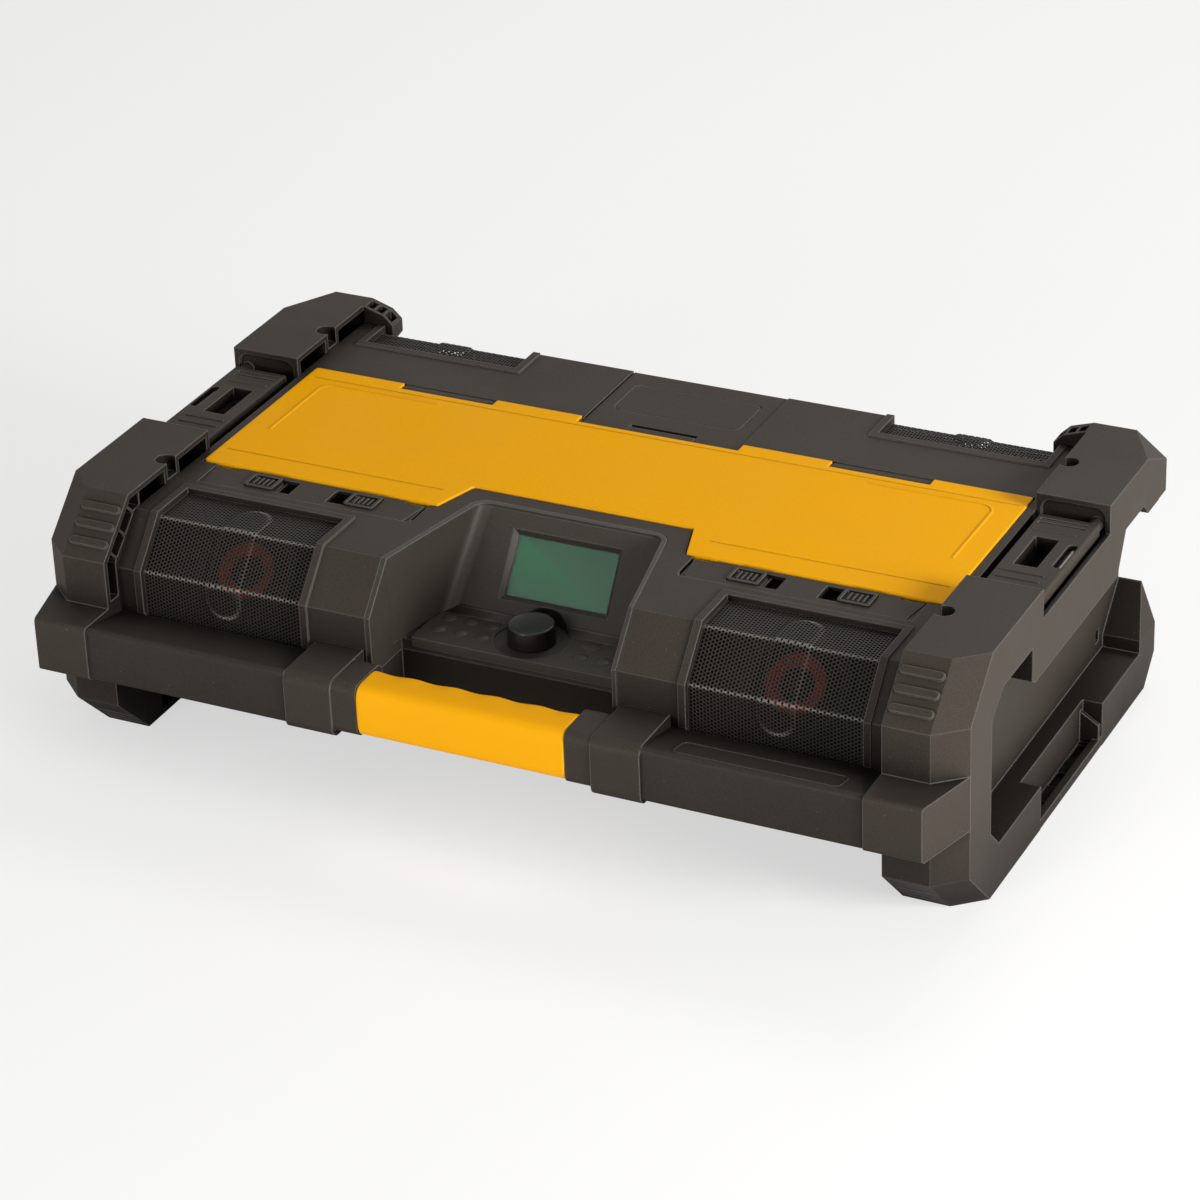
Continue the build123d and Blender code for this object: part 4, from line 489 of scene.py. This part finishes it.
def holed_sheet(width, run, values):
    """Points and triangles of a flat perforated sheet, width by run.

    Holes lie at k * pitch along the run in columns pitch * sqrt(3) / 2 apart, every other column moved by
    half a pitch. Each hole has its own six-sided cell; a cell in the plain margin has no hole.
    """
    pitch = values.pitch
    across = pitch * math.sqrt(3.0) / 2.0
    columns, rows = int(width / across) + 2, int(run / pitch) + 2
    i, j = np.meshgrid(np.arange(columns), np.arange(rows), indexing="ij")
    centre = np.stack([(i - (columns - 1) / 2) * across + width / 2,
                       (j - (rows - 1) / 2 + 0.5 * (i % 2) - 0.25) * pitch + run / 2], -1).reshape(-1, 2)
    centre = centre[np.all((centre > 0) & (centre < (width, run)), axis=1)]
    holed = np.all((centre > values.margin) & (centre < np.array((width, run)) - values.margin), axis=1)
    sixth = np.arange(6) * math.pi / 3
    cell = np.stack([np.cos(sixth), np.sin(sixth)], -1) * pitch / math.sqrt(3.0)
    outer = np.clip(centre[:, None] + cell, 0.0, (width, run))
    count = values.corners
    turn = np.arange(count) * 2 * math.pi / count
    rim = np.stack([np.cos(turn), np.sin(turn)], -1) * values.hole / 2
    inner = centre[holed][:, None] + rim
    flat = np.concatenate([outer.reshape(-1, 2), inner.reshape(-1, 2), centre[~holed]])
    # a holed cell is filled by fans between its six outer and its count inner corners
    per = count // 6
    first = np.flatnonzero(holed)
    first_in = len(centre) * 6 + np.arange(len(first)) * count
    triangles = []
    for k in range(6):
        a = first * 6 + k
        b = first * 6 + (k + 1) % 6
        for m in range(per):
            p = first_in + k * per + m
            q = first_in + (k * per + m + 1) % count
            triangles.append(np.stack([a if m < per / 2 else b, q, p], -1))
            if m == (per - 1) // 2:
                triangles.append(np.stack([a, b, q], -1))
    # a plain cell is six triangles round its middle
    plain = np.flatnonzero(~holed)
    middle = len(centre) * 6 + len(first) * count + np.arange(len(plain))
    for k in range(6):
        triangles.append(np.stack([plain * 6 + k, plain * 6 + (k + 1) % 6, middle], -1))
    # shared corners become one, and triangles that collapsed at the clipped border are dropped
    weld = 0.02 * MM
    _, index, back = np.unique(np.round(flat / weld).astype(np.int64), axis=0, return_index=True,
                               return_inverse=True)
    faces = back.reshape(-1)[np.concatenate(triangles)]
    kept = (faces[:, 0] != faces[:, 1]) & (faces[:, 1] != faces[:, 2]) & (faces[:, 2] != faces[:, 0])
    return flat[index], faces[kept]


def perforated(name, source, corners, rib_span, rib_end_highlight, values):
    """Perforated sheet along a folded profile of (y, z) corners, in place of a packed sheet.

    A point u across and s along the sheet goes to the fold path's place at s, moved out along its normal by
    the rib's height. rib_span is where the rib runs as shares of the path, and rib_end_highlight how much
    painted highlight its ends get.
    """
    low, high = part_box(source)
    length_at, place, normal = fold_path(corners, values.bend)
    run, middle = length_at[-1], (low.x + high.x) / 2
    flat, faces = holed_sheet(high.x - low.x, run, values)
    u, s = flat[:, 0] + low.x, flat[:, 1]
    rise = pressed_rib(u, s, middle, rib_span[0] * run, rib_span[1] * run, values)
    y, z, out_y, out_z = (np.interp(s, length_at, row) for row in (*place.T, *normal.T))
    points = np.stack([u, y + out_y * rise, z + out_z * rise], -1)
    piece = mesh_object(name, points, [faces], "black_mesh", "radio")
    # the painted highlight falls off from each fold as a bell, and lies over the slope of the rib with most
    # at its two ends
    highlight_reach = 1.0 * MM
    bends = [length_at[np.argmin(np.hypot(*(place - corner).T))] for corner in corners[1:-1]]
    rub = sum(values.fold_highlight * np.exp(-((s - bend) / highlight_reach) ** 2) for bend in bends)
    slope = 4.0 * (rise / values.rib_height) * (1.0 - rise / values.rib_height)
    past = s - np.clip(s, rib_span[0] * run, rib_span[1] * run)
    end = (past / np.hypot(past, u - middle + 1e-9)) ** 4
    rub = np.clip(rub + slope * (values.rib_slope_highlight + rib_end_highlight * end), 0.0, 1.0)
    piece.data.attributes.new("rub", "FLOAT", "POINT").data.foreach_set("value", rub.astype(np.float32))
    wall = piece.modifiers.new("wall", "SOLIDIFY")
    wall.thickness = values.thickness
    wall.offset = -1.0
    piece.data.shade_flat()
    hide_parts(source)


class RADIO_OT_grilles(bpy.types.Operator):
    """Make the four perforated grilles"""
    bl_idname = "radio.grilles"
    bl_label = "Perforated grilles"

    def execute(self, context):
        values = context.scene.radio_grille
        for side, _ in SIDES:
            source = f"front_grille_{side}"
            points = node_points(source)
            low, high = points.min(0), points.max(0)
            slope_z = points[points[:, 1] < low[1] + NEAR][:, 2].max()
            slope_y = points[points[:, 2] > high[2] - NEAR][:, 1].min()
            corners = np.array([(low[1], low[2]), (low[1], slope_z), (slope_y, high[2]), (high[1], high[2])])
            perforated(f"mesh_front_{side}", source, corners, (0.25, 0.80), 0.7, values)
            source = f"rear_grille_{side}"
            points = node_points(source)
            low, high = points.min(0), points.max(0)
            corners = np.array([(low[1], high[2]), (high[1], high[2]), (high[1], low[2])])
            perforated(f"mesh_rear_{side}", source, corners, (0.3, 0.65), 0.0, values)
        return {"FINISHED"}


# ---- driver rings ----

class RADIO_OT_driver_rings(bpy.types.Operator):
    """Make the red ring round the dust cap of each front driver"""
    bl_idname = "radio.driver_rings"
    bl_label = "Driver rings"

    def execute(self, context):
        values = context.scene.radio_trim
        axis = np.array((0.0, -math.sqrt(0.5), math.sqrt(0.5)))
        up = np.array((0.0, math.sqrt(0.5), math.sqrt(0.5)))
        side_way = np.array((1.0, 0.0, 0.0))
        turn = np.linspace(0.0, 2 * math.pi, 73)[:-1]
        share = np.linspace(0.0, 1.0, 13)
        sink, climb, crown, thickness = 4.2 * MM, 3.2 * MM, 1.0 * MM, 0.5 * MM
        for side, _ in SIDES:
            points = node_points(f"front_cone_{side}")
            front = (points @ axis).max()
            middle = ((points @ up).max() + (points @ up).min()) / 2
            x = (points[:, 0].max() + points[:, 0].min()) / 2
            # crown: the radius runs from inside to outside while a half sine adds to the climb
            radius = values.ring_inner + (values.ring_outer - values.ring_inner) * share
            height = front - sink + climb * share + crown * np.sin(math.pi * share)
            place = (x * side_way + middle * up + axis * height[:, None, None]
                     + radius[:, None, None] * (np.cos(turn)[None, :, None] * side_way
                                                + np.sin(turn)[None, :, None] * up))
            piece = mesh_object(f"driver_ring_{side}", place.reshape(-1, 3),
                                [grid_faces(len(share), len(turn), closed=True)], "driver_ring", "radio")
            wall = piece.modifiers.new("wall", "SOLIDIFY")
            wall.thickness = thickness
        return {"FINISHED"}


# ---- soft grip ----

class RADIO_OT_grip(bpy.types.Operator):
    """Make the soft grip with its finger waves"""
    bl_idname = "radio.grip"
    bl_label = "Soft grip"

    def execute(self, context):
        values = context.scene.radio_grip
        low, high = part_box("handle_grip")
        centre = ((low.y + high.y) / 2, (low.z + high.z) / 2)
        half = ((high.y - low.y) / 2, (high.z - low.z) / 2)
        along = np.linspace(0.0, 1.0, 161)[:, None]
        turn = np.linspace(0.0, 2 * math.pi, 97)[:-1][None, :]
        # superellipse |y/a|^n + |z/b|^n = 1 as a function of the angle
        c, s, power = np.cos(turn), np.sin(turn), 2.0 / values.fullness
        y = half[0] * np.sign(c) * np.abs(c) ** power
        z = half[1] * np.sign(s) * np.abs(s) ** power
        # finger waves press the rear upper quarter in by a cosine along the bar, fading round the section
        weight = np.clip(c, 0, 1) ** 0.5 * np.clip(s + 0.55, 0, 1)
        wave = values.wave * 0.5 * (1 - np.cos(2 * math.pi * values.crests * along)) * weight
        # the last stretch at each end falls to a smaller section on a quarter circle
        edge = np.minimum(along, 1 - along) * (high.x - low.x)
        drop = values.end_radius - np.sqrt(np.clip(
            values.end_radius ** 2 - np.clip(values.end_radius - edge, 0, None) ** 2, 0, None))
        y = y * (1 - (wave + drop) / half[0])
        z = z * (1 - (wave + drop) / half[1])
        x = low.x + (high.x - low.x) * along + 0 * y
        points = np.stack([x, centre[0] + y, centre[1] + z], -1)
        core_y, core_z = y[:1] * 0.8, z[:1] * 0.8
        ends = [np.stack([x[[row]], centre[0] + core_y, centre[1] + core_z], -1) for row in (0, -1)]
        everything = np.concatenate([ends[0], points, ends[1]])
        faces = grid_faces(everything.shape[0], everything.shape[1], closed=True)
        piece = mesh_object("soft_grip", everything.reshape(-1, 3), [faces[:, ::-1]], "yellow_grip", "radio")
        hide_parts("handle_grip")
        return {"FINISHED"}


# ---- knob and keys ----

def turned(name, source, profile, flutes, count, finish_name, body):
    """Piece turned from a profile of (share of the radius, share of the height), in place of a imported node.

    The radius at an angle is the profile's share times the half sizes of the node's box, which makes an oval
    of a long box; flutes is the depth share of the wave cos(count * angle) that the side carries.
    """
    low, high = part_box(source)
    middle, half = (low + high) / 2, (high - low) / 2
    turn = np.linspace(0.0, 2 * math.pi, 145)[:-1]
    share, rise = profile[:, 0], profile[:, 1]
    wave = 1.0 - flutes * profile[:, 2:3] * 0.5 * (1.0 + np.cos(count * turn))[None, :]
    x = middle.x + half.x * share[:, None] * np.cos(turn) * wave
    y = middle.y + half.y * share[:, None] * np.sin(turn) * wave
    z = low.z + (high.z - low.z) * rise[:, None] + 0 * x
    points = np.stack([x, y, z], -1).reshape(-1, 3)
    caps = [np.array([[middle.x, middle.y, low.z + (high.z - low.z) * rise[end]]]) for end in (0, -1)]
    rows, columns = x.shape
    around = np.arange(columns)
    bottom = np.stack([around, np.full(columns, len(points)), (around + 1) % columns], -1)
    last = (rows - 1) * columns
    top = np.stack([last + around, last + (around + 1) % columns, np.full(columns, len(points) + 1)], -1)
    faces = grid_faces(rows, columns, closed=True)
    piece = mesh_object(name, np.concatenate([points, *caps]), [faces, bottom, top], finish_name, body)
    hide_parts(source)
    return piece


class RADIO_OT_knob(bpy.types.Operator):
    """Make the tuning knob with its dished top"""
    bl_idname = "radio.knob"
    bl_label = "Tuning knob"

    def execute(self, context):
        # shares of the knob's radius and height
        shoulder, brim, rise, dish_depth, flute_depth, flutes = 0.975, 0.915, 0.90, 0.11, 0.012, 40
        # side leaning in a little, a lip on a quarter circle, then a dish that falls by a power of the cosine
        side = np.stack([np.linspace(1.0, shoulder, 12), np.linspace(0.0, rise, 12), np.ones(12)], -1)
        side[0, 2] = side[-1, 2] = 0.0
        lean = np.linspace(0.0, math.pi / 2, 9)[1:]
        lip = np.stack([brim + (shoulder - brim) * np.cos(lean), rise + (1.0 - rise) * np.sin(lean),
                        np.zeros(8)], -1)
        run = np.linspace(1.0, 0.02, 22)[1:]
        dish = np.stack([brim * run, 1.0 - dish_depth * np.cos(math.pi / 2 * run) ** 0.8, np.zeros(21)], -1)
        profile = np.concatenate([side, lip, dish])
        piece = turned("knob_turned", "tuning_knob", profile, flute_depth, flutes, "dark_control", "knob")
        return {"FINISHED"}


class RADIO_OT_keys(bpy.types.Operator):
    """Make the domed keys"""
    bl_idname = "radio.keys"
    bl_label = "Keys"

    def execute(self, context):
        dome = context.scene.radio_trim.key_dome
        for name in (part for part in SLOTS if part.startswith("key_") and part != "key_board"):
            low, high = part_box(name)
            tall = high.z - low.z
            # straight side, then a dome that falls with the radius to the power of 2.4
            run = np.linspace(1.0, 0.02, 14)
            crown = np.stack([run, 1.0 - dome / tall * run ** 2.4, np.zeros(14)], -1)
            profile = np.concatenate([[[1.0, 0.0, 0.0]], crown])
            piece = turned(f"{name}_cap", name, profile, 0.0, 1, "keypad_black", f"{name}_body")
        return {"FINISHED"}


# ---- side details ----

def prism_faces(count, start=0):
    """Sides and two ends of a prism whose two outlines of count points follow each other from a start."""
    around = start + np.arange(count)
    after = np.roll(around, -1)
    sides = np.stack([around, around + count, after + count, after], -1)
    return [sides, around[None, :], around[None, ::-1] + count]


def prism(name, ends, finish_name, body):
    """Closed piece between two outlines with the same number of points, the first one seen from outside."""
    return mesh_object(name, np.concatenate(ends), prism_faces(len(ends[0])), finish_name, body, smooth=False)


def block(name, low, high, finish_name, body):
    """Plain box between two corners."""
    corners = np.stack(np.meshgrid(*zip(low, high), indexing="ij"), -1).reshape(-1, 3)
    faces = np.array([(0, 1, 3, 2), (4, 6, 7, 5), (0, 4, 5, 1), (2, 3, 7, 6), (0, 2, 6, 4), (1, 5, 7, 3)])
    return mesh_object(name, corners, [faces], finish_name, body, smooth=False)


class RADIO_OT_side_details(bpy.types.Operator):
    """Make the bars across the latch arms and the floors under the slots of the hook webs"""
    bl_idname = "radio.side_details"
    bl_label = "Side details"

    def execute(self, context):
        values = context.scene.radio_trim
        bow = np.linspace(0.0, math.pi, 9)
        bar_root, bar_inset, bar_outset = 0.3 * MM, 3.0 * MM, 7.0 * MM
        floor_gap, floor_wall, floor_short = 0.1 * MM, 0.4 * MM, 3.0 * MM
        for side, sign in SIDES:
            low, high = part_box(f"side_latch_{side}")
            inner, outer = sorted((low.x, high.x), key=abs)
            points, faces = [], []
            for place in (values.bar_first, values.bar_second, values.bar_third):
                # half an ellipse swept across the arm, closed by its own flat underside inside the arm
                y = low.y + place - values.bar_half * np.cos(bow)
                z = high.z - bar_root + (values.bar_rise + bar_root) * np.sin(bow)
                faces += prism_faces(len(bow), len(points) * len(bow))
                for x in (inner + sign * bar_inset, outer - sign * bar_outset):
                    points.append(np.stack([np.full_like(y, x), y, z], -1))
            if sign > 0:
                faces = [part[:, ::-1] for part in faces]
            piece = mesh_object(f"latch_bars_{side}", np.concatenate(points), faces, "black_moulding",
                                f"latch_arm_{side}", smooth=False)
            x = sorted(sign * edge for edge in (values.slot_inner, values.slot_outer))
            under = CAD_BOX[0].z + floor_gap
            piece = block(f"slot_floor_{side}", (x[0], low.y, under),
                          (x[1], high.y - floor_short, under + floor_wall), "tray_black", "radio")
        return {"FINISHED"}


# ---- console cove and strip ends ----

class RADIO_OT_console_cove(bpy.types.Operator):
    """Make the hollow rounding at the foot of the panel and the wedges at the ends of the latch strips"""
    bl_idname = "radio.console_cove"
    bl_label = "Console cove and strip ends"

    def execute(self, context):
        values = context.scene.radio_trim
        points = node_points("keypad_plate")
        ledge = points[:, 2].max()
        knob = node_points("tuning_knob")
        knob_x, knob_y = (knob.max(0) + knob.min(0))[:2] / 2
        foot_y, lean = values.cove_foot + CAD_BOX[0].y, values.cove_lean
        # arc that touches the ledge and the panel: its centre stands over the first touching point
        touch = values.cove_radius * math.tan(lean / 2)
        turn = np.linspace(0.0, lean, 10)
        arc_y = foot_y - touch + values.cove_radius * np.sin(turn)
        arc_z = ledge + values.cove_radius * (1.0 - np.cos(turn))
        sink, behind, under_gap = 0.6 * MM, 1.5 * MM, 0.05 * MM
        y = np.concatenate([arc_y, [foot_y + behind, foot_y - touch]])
        z = np.concatenate([arc_z, [ledge - sink, ledge - sink]])
        # the inner end follows the knob's well, x = well radius * cos of the angle at that depth
        inner = np.sqrt(np.clip(values.well_radius ** 2 - (y - knob_y) ** 2, 0.0, None))
        for side, sign in SIDES:
            wall = np.full_like(y, sign * values.cove_half)
            ends = [np.stack([x, y, z], -1) for x in (knob_x + sign * inner, wall)]
            piece = prism(f"console_cove_{side}", ends if sign > 0 else ends[::-1], "console_smooth", "radio")
            piece.data.shade_smooth()
            low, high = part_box(f"latch_strip_{side}")
            near, far = sorted((low.x, high.x), key=abs)
            top, under = high.z - sink, low.z + under_gap
            for end, tip, way in (("inner", near, sign), ("outer", far, -sign)):
                # triangle that leaves a tenth of the slant and of the strip's depth free at its points
                slant = way * values.strip_slant
                deep = low.y + 0.9 * (high.y - low.y)
                plan = np.array([(tip, low.y), (tip + 0.9 * slant, low.y), (tip, deep)])
                outlines = [np.column_stack([plan, np.full(3, level)]) for level in (top, under)]
                piece = prism(f"strip_wedge_{end}_{side}", outlines if slant > 0 else
                              [part[::-1] for part in outlines], "black_moulding", "radio")
        return {"FINISHED"}


# ---- hinge covers ----

class RADIO_OT_hinge_covers(bpy.types.Operator):
    """Make the flush covers of the housing over the hinge of the lid"""
    bl_idname = "radio.hinge_covers"
    bl_label = "Hinge covers"

    def execute(self, context):
        values = context.scene.radio_trim
        joint = next(part for part in FRAME["record"]["behaviour"]["joints"] if part["name"] == "lid_swing")
        axis_y, axis_z = joint["pos_m"][1:]
        reach = values.cover_reach
        # section in front of the axis is an arc that the notch of the lid clears, then a nearly level top;
        # its points are shares of that arc's radius
        lean = np.radians(np.linspace(150.0, 116.0, 8))
        top = np.stack([np.cos(lean), np.sin(lean)], -1) * reach
        back = np.array([(0.43, 0.875), (1.52, 0.772), (1.52, 0.25), (-0.8, 0.25)]) * reach
        section = np.concatenate([top, back]) + (axis_y, axis_z)
        for side, sign in SIDES:
            edges = sorted(sign * edge for edge in (values.cover_inner, values.cover_outer))
            ends = [np.column_stack([np.full(len(section), x), section]) for x in edges]
            piece = prism(f"hinge_cover_{side}", ends, "black_moulding", "radio")
        return {"FINISHED"}


# ---- bare badge ----

class RADIO_OT_badge(bpy.types.Operator):
    """Make the bare badge on the right-hand rail, a low bead round an empty field"""
    bl_idname = "radio.badge"
    bl_label = "Bare badge"

    def execute(self, context):
        values = context.scene.radio_trim
        points = node_points("front_rail_right")
        back = points[:, 1].max()
        back_z = points[points[:, 1] > back - NEAR][:, 2].max()
        top = points[:, 2].max()
        front = points[points[:, 2] > top - NEAR][:, 1].max()
        fall = (top - back_z) / (back - front)
        middle_x = (points[:, 0].min() + points[:, 0].max()) / 2
        middle_y = points[:, 1].min() + values.badge_inset + values.badge_depth / 2
        # the bead's middle line is a rectangle with round corners: a corner's centre plus a quarter circle
        turn = np.linspace(0.0, 2 * math.pi, 81)[:-1]
        corner = values.badge_corner
        path_x = np.sign(np.cos(turn)) * (values.badge_length / 2 - corner) + corner * np.cos(turn)
        path_y = np.sign(np.sin(turn)) * (values.badge_depth / 2 - corner) + corner * np.sin(turn)
        # its section is half an ellipse across the line
        bow = np.linspace(0.0, math.pi, 9)
        root = 0.2 * MM
        out = values.badge_bead * np.cos(bow)[:, None]
        x = middle_x + path_x + out * np.cos(turn)
        y = middle_y + path_y + out * np.sin(turn)
        level = top - fall * np.clip(y - front, 0.0, None)
        z = level - root + (values.badge_rise + root) * np.sin(bow)[:, None]
        faces = grid_faces(*x.shape, closed=True)
        piece = mesh_object("badge_bare", np.stack([x, y, z], -1).reshape(-1, 3), [faces[:, ::-1]],
                            "rail_shaded", "radio")
        return {"FINISHED"}


# ---- stage ----

def area_lamp(name, place, watts):
    """Round soft lamp at a place, aimed at the middle of the radio."""
    lamp = bpy.data.lights.new(name, "AREA")
    lamp.shape = "DISK"
    lamp.size = 0.9
    lamp.energy = watts
    holder = placed(name, lamp)
    holder.location = place
    holder.rotation_mode = "QUATERNION"
    holder.rotation_quaternion = (Vector((0.0, 0.0, 0.05)) - Vector(place)).to_track_quat("-Z", "Y")


def paper_floor(values):
    """Pale paper under the radio: matt with a slight tooth, and brightened where the camera sees it."""
    half_width, tooth_size = 6.0, 333 * MM
    material, tree, shader = finish("paper_floor", {"Roughness": 0.8})
    place = add(tree, "TexCoord").outputs["Object"]
    tooth = add(tree, "TexNoise", {"Scale": 1.0 / tooth_size, "Detail": 2.0}, {"Vector": place})
    tone = add(tree, "MapRange", {"To Min": 0.99, "To Max": 1.0}, {"Value": tooth.outputs["Fac"]})
    shade = add(tree, "VectorMath", {0: tuple(values.floor)}, {1: tone.outputs["Result"]},
                operation="MULTIPLY")
    tree.links.new(shade.outputs["Vector"], shader.inputs["Base Color"])
    path = add(tree, "LightPath")
    white = add(tree, "Emission", {"Color": (1.0, 1.0, 1.0, 1.0), "Strength": 1.0})
    part = add(tree, "Math", {1: 0.6}, {0: path.outputs["Is Camera Ray"]}, operation="MULTIPLY")
    mixed = add(tree, "MixShader", None, {0: part.outputs["Value"], 1: shader.outputs["BSDF"],
                                          2: white.outputs["Emission"]})
    tree.links.new(mixed.outputs["Shader"], tree.nodes["Material Output"].inputs["Surface"])
    x, y = np.meshgrid(*[np.linspace(-half_width, half_width, 3)] * 2, indexing="ij")
    points = np.stack([x, y, np.full_like(x, CAD_BOX[0].z - 0.3 * MM)], -1).reshape(-1, 3)
    mesh = bpy.data.meshes.new("floor")
    mesh.from_pydata(points.tolist(), [], grid_faces(3, 3)[:, ::-1].tolist())
    mesh.materials.append(material)
    return placed("floor", mesh)


def studio_world(values):
    """World with an even fill for the radio, and white for camera, glossy and transmission rays."""
    world = bpy.data.worlds.new("studio")
    world.use_nodes = True
    tree = world.node_tree
    back = tree.nodes["Background"]
    back.inputs["Color"].default_value = (1.0, 1.0, 1.0, 1.0)
    path = add(tree, "LightPath")
    seen = add(tree, "Math", None, {0: path.outputs["Is Camera Ray"],
                                   1: path.outputs["Is Glossy Ray"]}, operation="MAXIMUM")
    seen = add(tree, "Math", None, {0: seen.outputs["Value"],
                                   1: path.outputs["Is Transmission Ray"]}, operation="MAXIMUM")
    level = add(tree, "MapRange", {"To Min": values.fill, "To Max": 1.0},
                {"Value": seen.outputs["Value"]})
    tree.links.new(level.outputs["Result"], back.inputs["Strength"])
    return world


def aimed_camera(values):
    """Camera at its distance from the aim, turned by its azimuth, elevation and roll."""
    az, el, roll = values.azimuth, values.elevation, values.roll
    back_way = Vector((math.sin(az) * math.cos(el), -math.cos(az) * math.cos(el), math.sin(el)))
    right = Vector((math.cos(az), math.sin(az), 0.0))
    up = back_way.cross(right)
    side = right * math.cos(roll) + up * math.sin(roll)
    top = up * math.cos(roll) - right * math.sin(roll)
    camera = placed("camera", bpy.data.cameras.new("camera"))
    camera.data.sensor_width = 36.0
    camera.data.lens = values.focal
    camera.data.clip_start, camera.data.clip_end = 0.05, 50.0
    turn = Matrix((side, top, back_way)).transposed().to_4x4()
    camera.matrix_world = Matrix.Translation(Vector(values.aim) + back_way * values.distance) @ turn
    return camera


class RADIO_OT_stage(bpy.types.Operator):
    """Make the floor, the lamps, the world and the camera"""
    bl_idname = "radio.stage"
    bl_label = "Stage"

    def execute(self, context):
        scene, values = context.scene, context.scene.radio_stage
        scene.view_settings.view_transform = "Standard"
        floor = paper_floor(values)
        scene.world = studio_world(values)
        area_lamp("lamp_right", (2.15, -0.45, 0.75), values.right_power)
        area_lamp("lamp_top", (0.1, 1.7, 1.9), values.top_power)
        area_lamp("lamp_front", (-0.5, -2.3, 0.45), values.front_power)
        scene.camera = aimed_camera(values)
        return {"FINISHED"}


class RADIO_PT_panel(bpy.types.Panel):
    """Lists the values and steps of the dressing"""
    bl_idname = "RADIO_PT_panel"
    bl_label = "Jobsite radio"
    bl_space_type = "VIEW_3D"
    bl_region_type = "UI"
    bl_category = "Radio"

    def draw(self, context):
        for group in GROUPS:
            box = self.layout.box()
            values = getattr(context.scene, group)
            for key in values.__annotations__:
                box.prop(values, key)
        for step in STEPS:
            self.layout.operator(step.bl_idname)


GROUPS = {
    "radio_finish": RadioFinishValues,
    "radio_grille": RadioGrilleValues,
    "radio_grip": RadioGripValues,
    "radio_trim": RadioTrimValues,
    "radio_stage": RadioStageValues,
}
STEPS = (RADIO_OT_finishes, RADIO_OT_grilles, RADIO_OT_driver_rings, RADIO_OT_grip, RADIO_OT_knob,
         RADIO_OT_keys, RADIO_OT_side_details, RADIO_OT_console_cove, RADIO_OT_hinge_covers, RADIO_OT_badge,
         RADIO_OT_stage)


def register():
    """Register the value groups, the steps and the panel."""
    for name, group in GROUPS.items():
        bpy.utils.register_class(group)
        setattr(bpy.types.Scene, name, PointerProperty(type=group))
    for step in STEPS:
        bpy.utils.register_class(step)
    bpy.utils.register_class(RADIO_PT_panel)


def unregister():
    """Remove what register added."""
    bpy.utils.unregister_class(RADIO_PT_panel)
    for step in reversed(STEPS):
        bpy.utils.unregister_class(step)
    for name, group in GROUPS.items():
        delattr(bpy.types.Scene, name)
        bpy.utils.unregister_class(group)


def main():
    """Register and run the steps in order."""
    register()
    for step in STEPS:
        family, name = step.bl_idname.split(".")
        if "FINISHED" not in getattr(getattr(bpy.ops, family), name)():
            raise RuntimeError(f"{step.bl_label} did not finish")


if __name__ == "__main__":
    main()
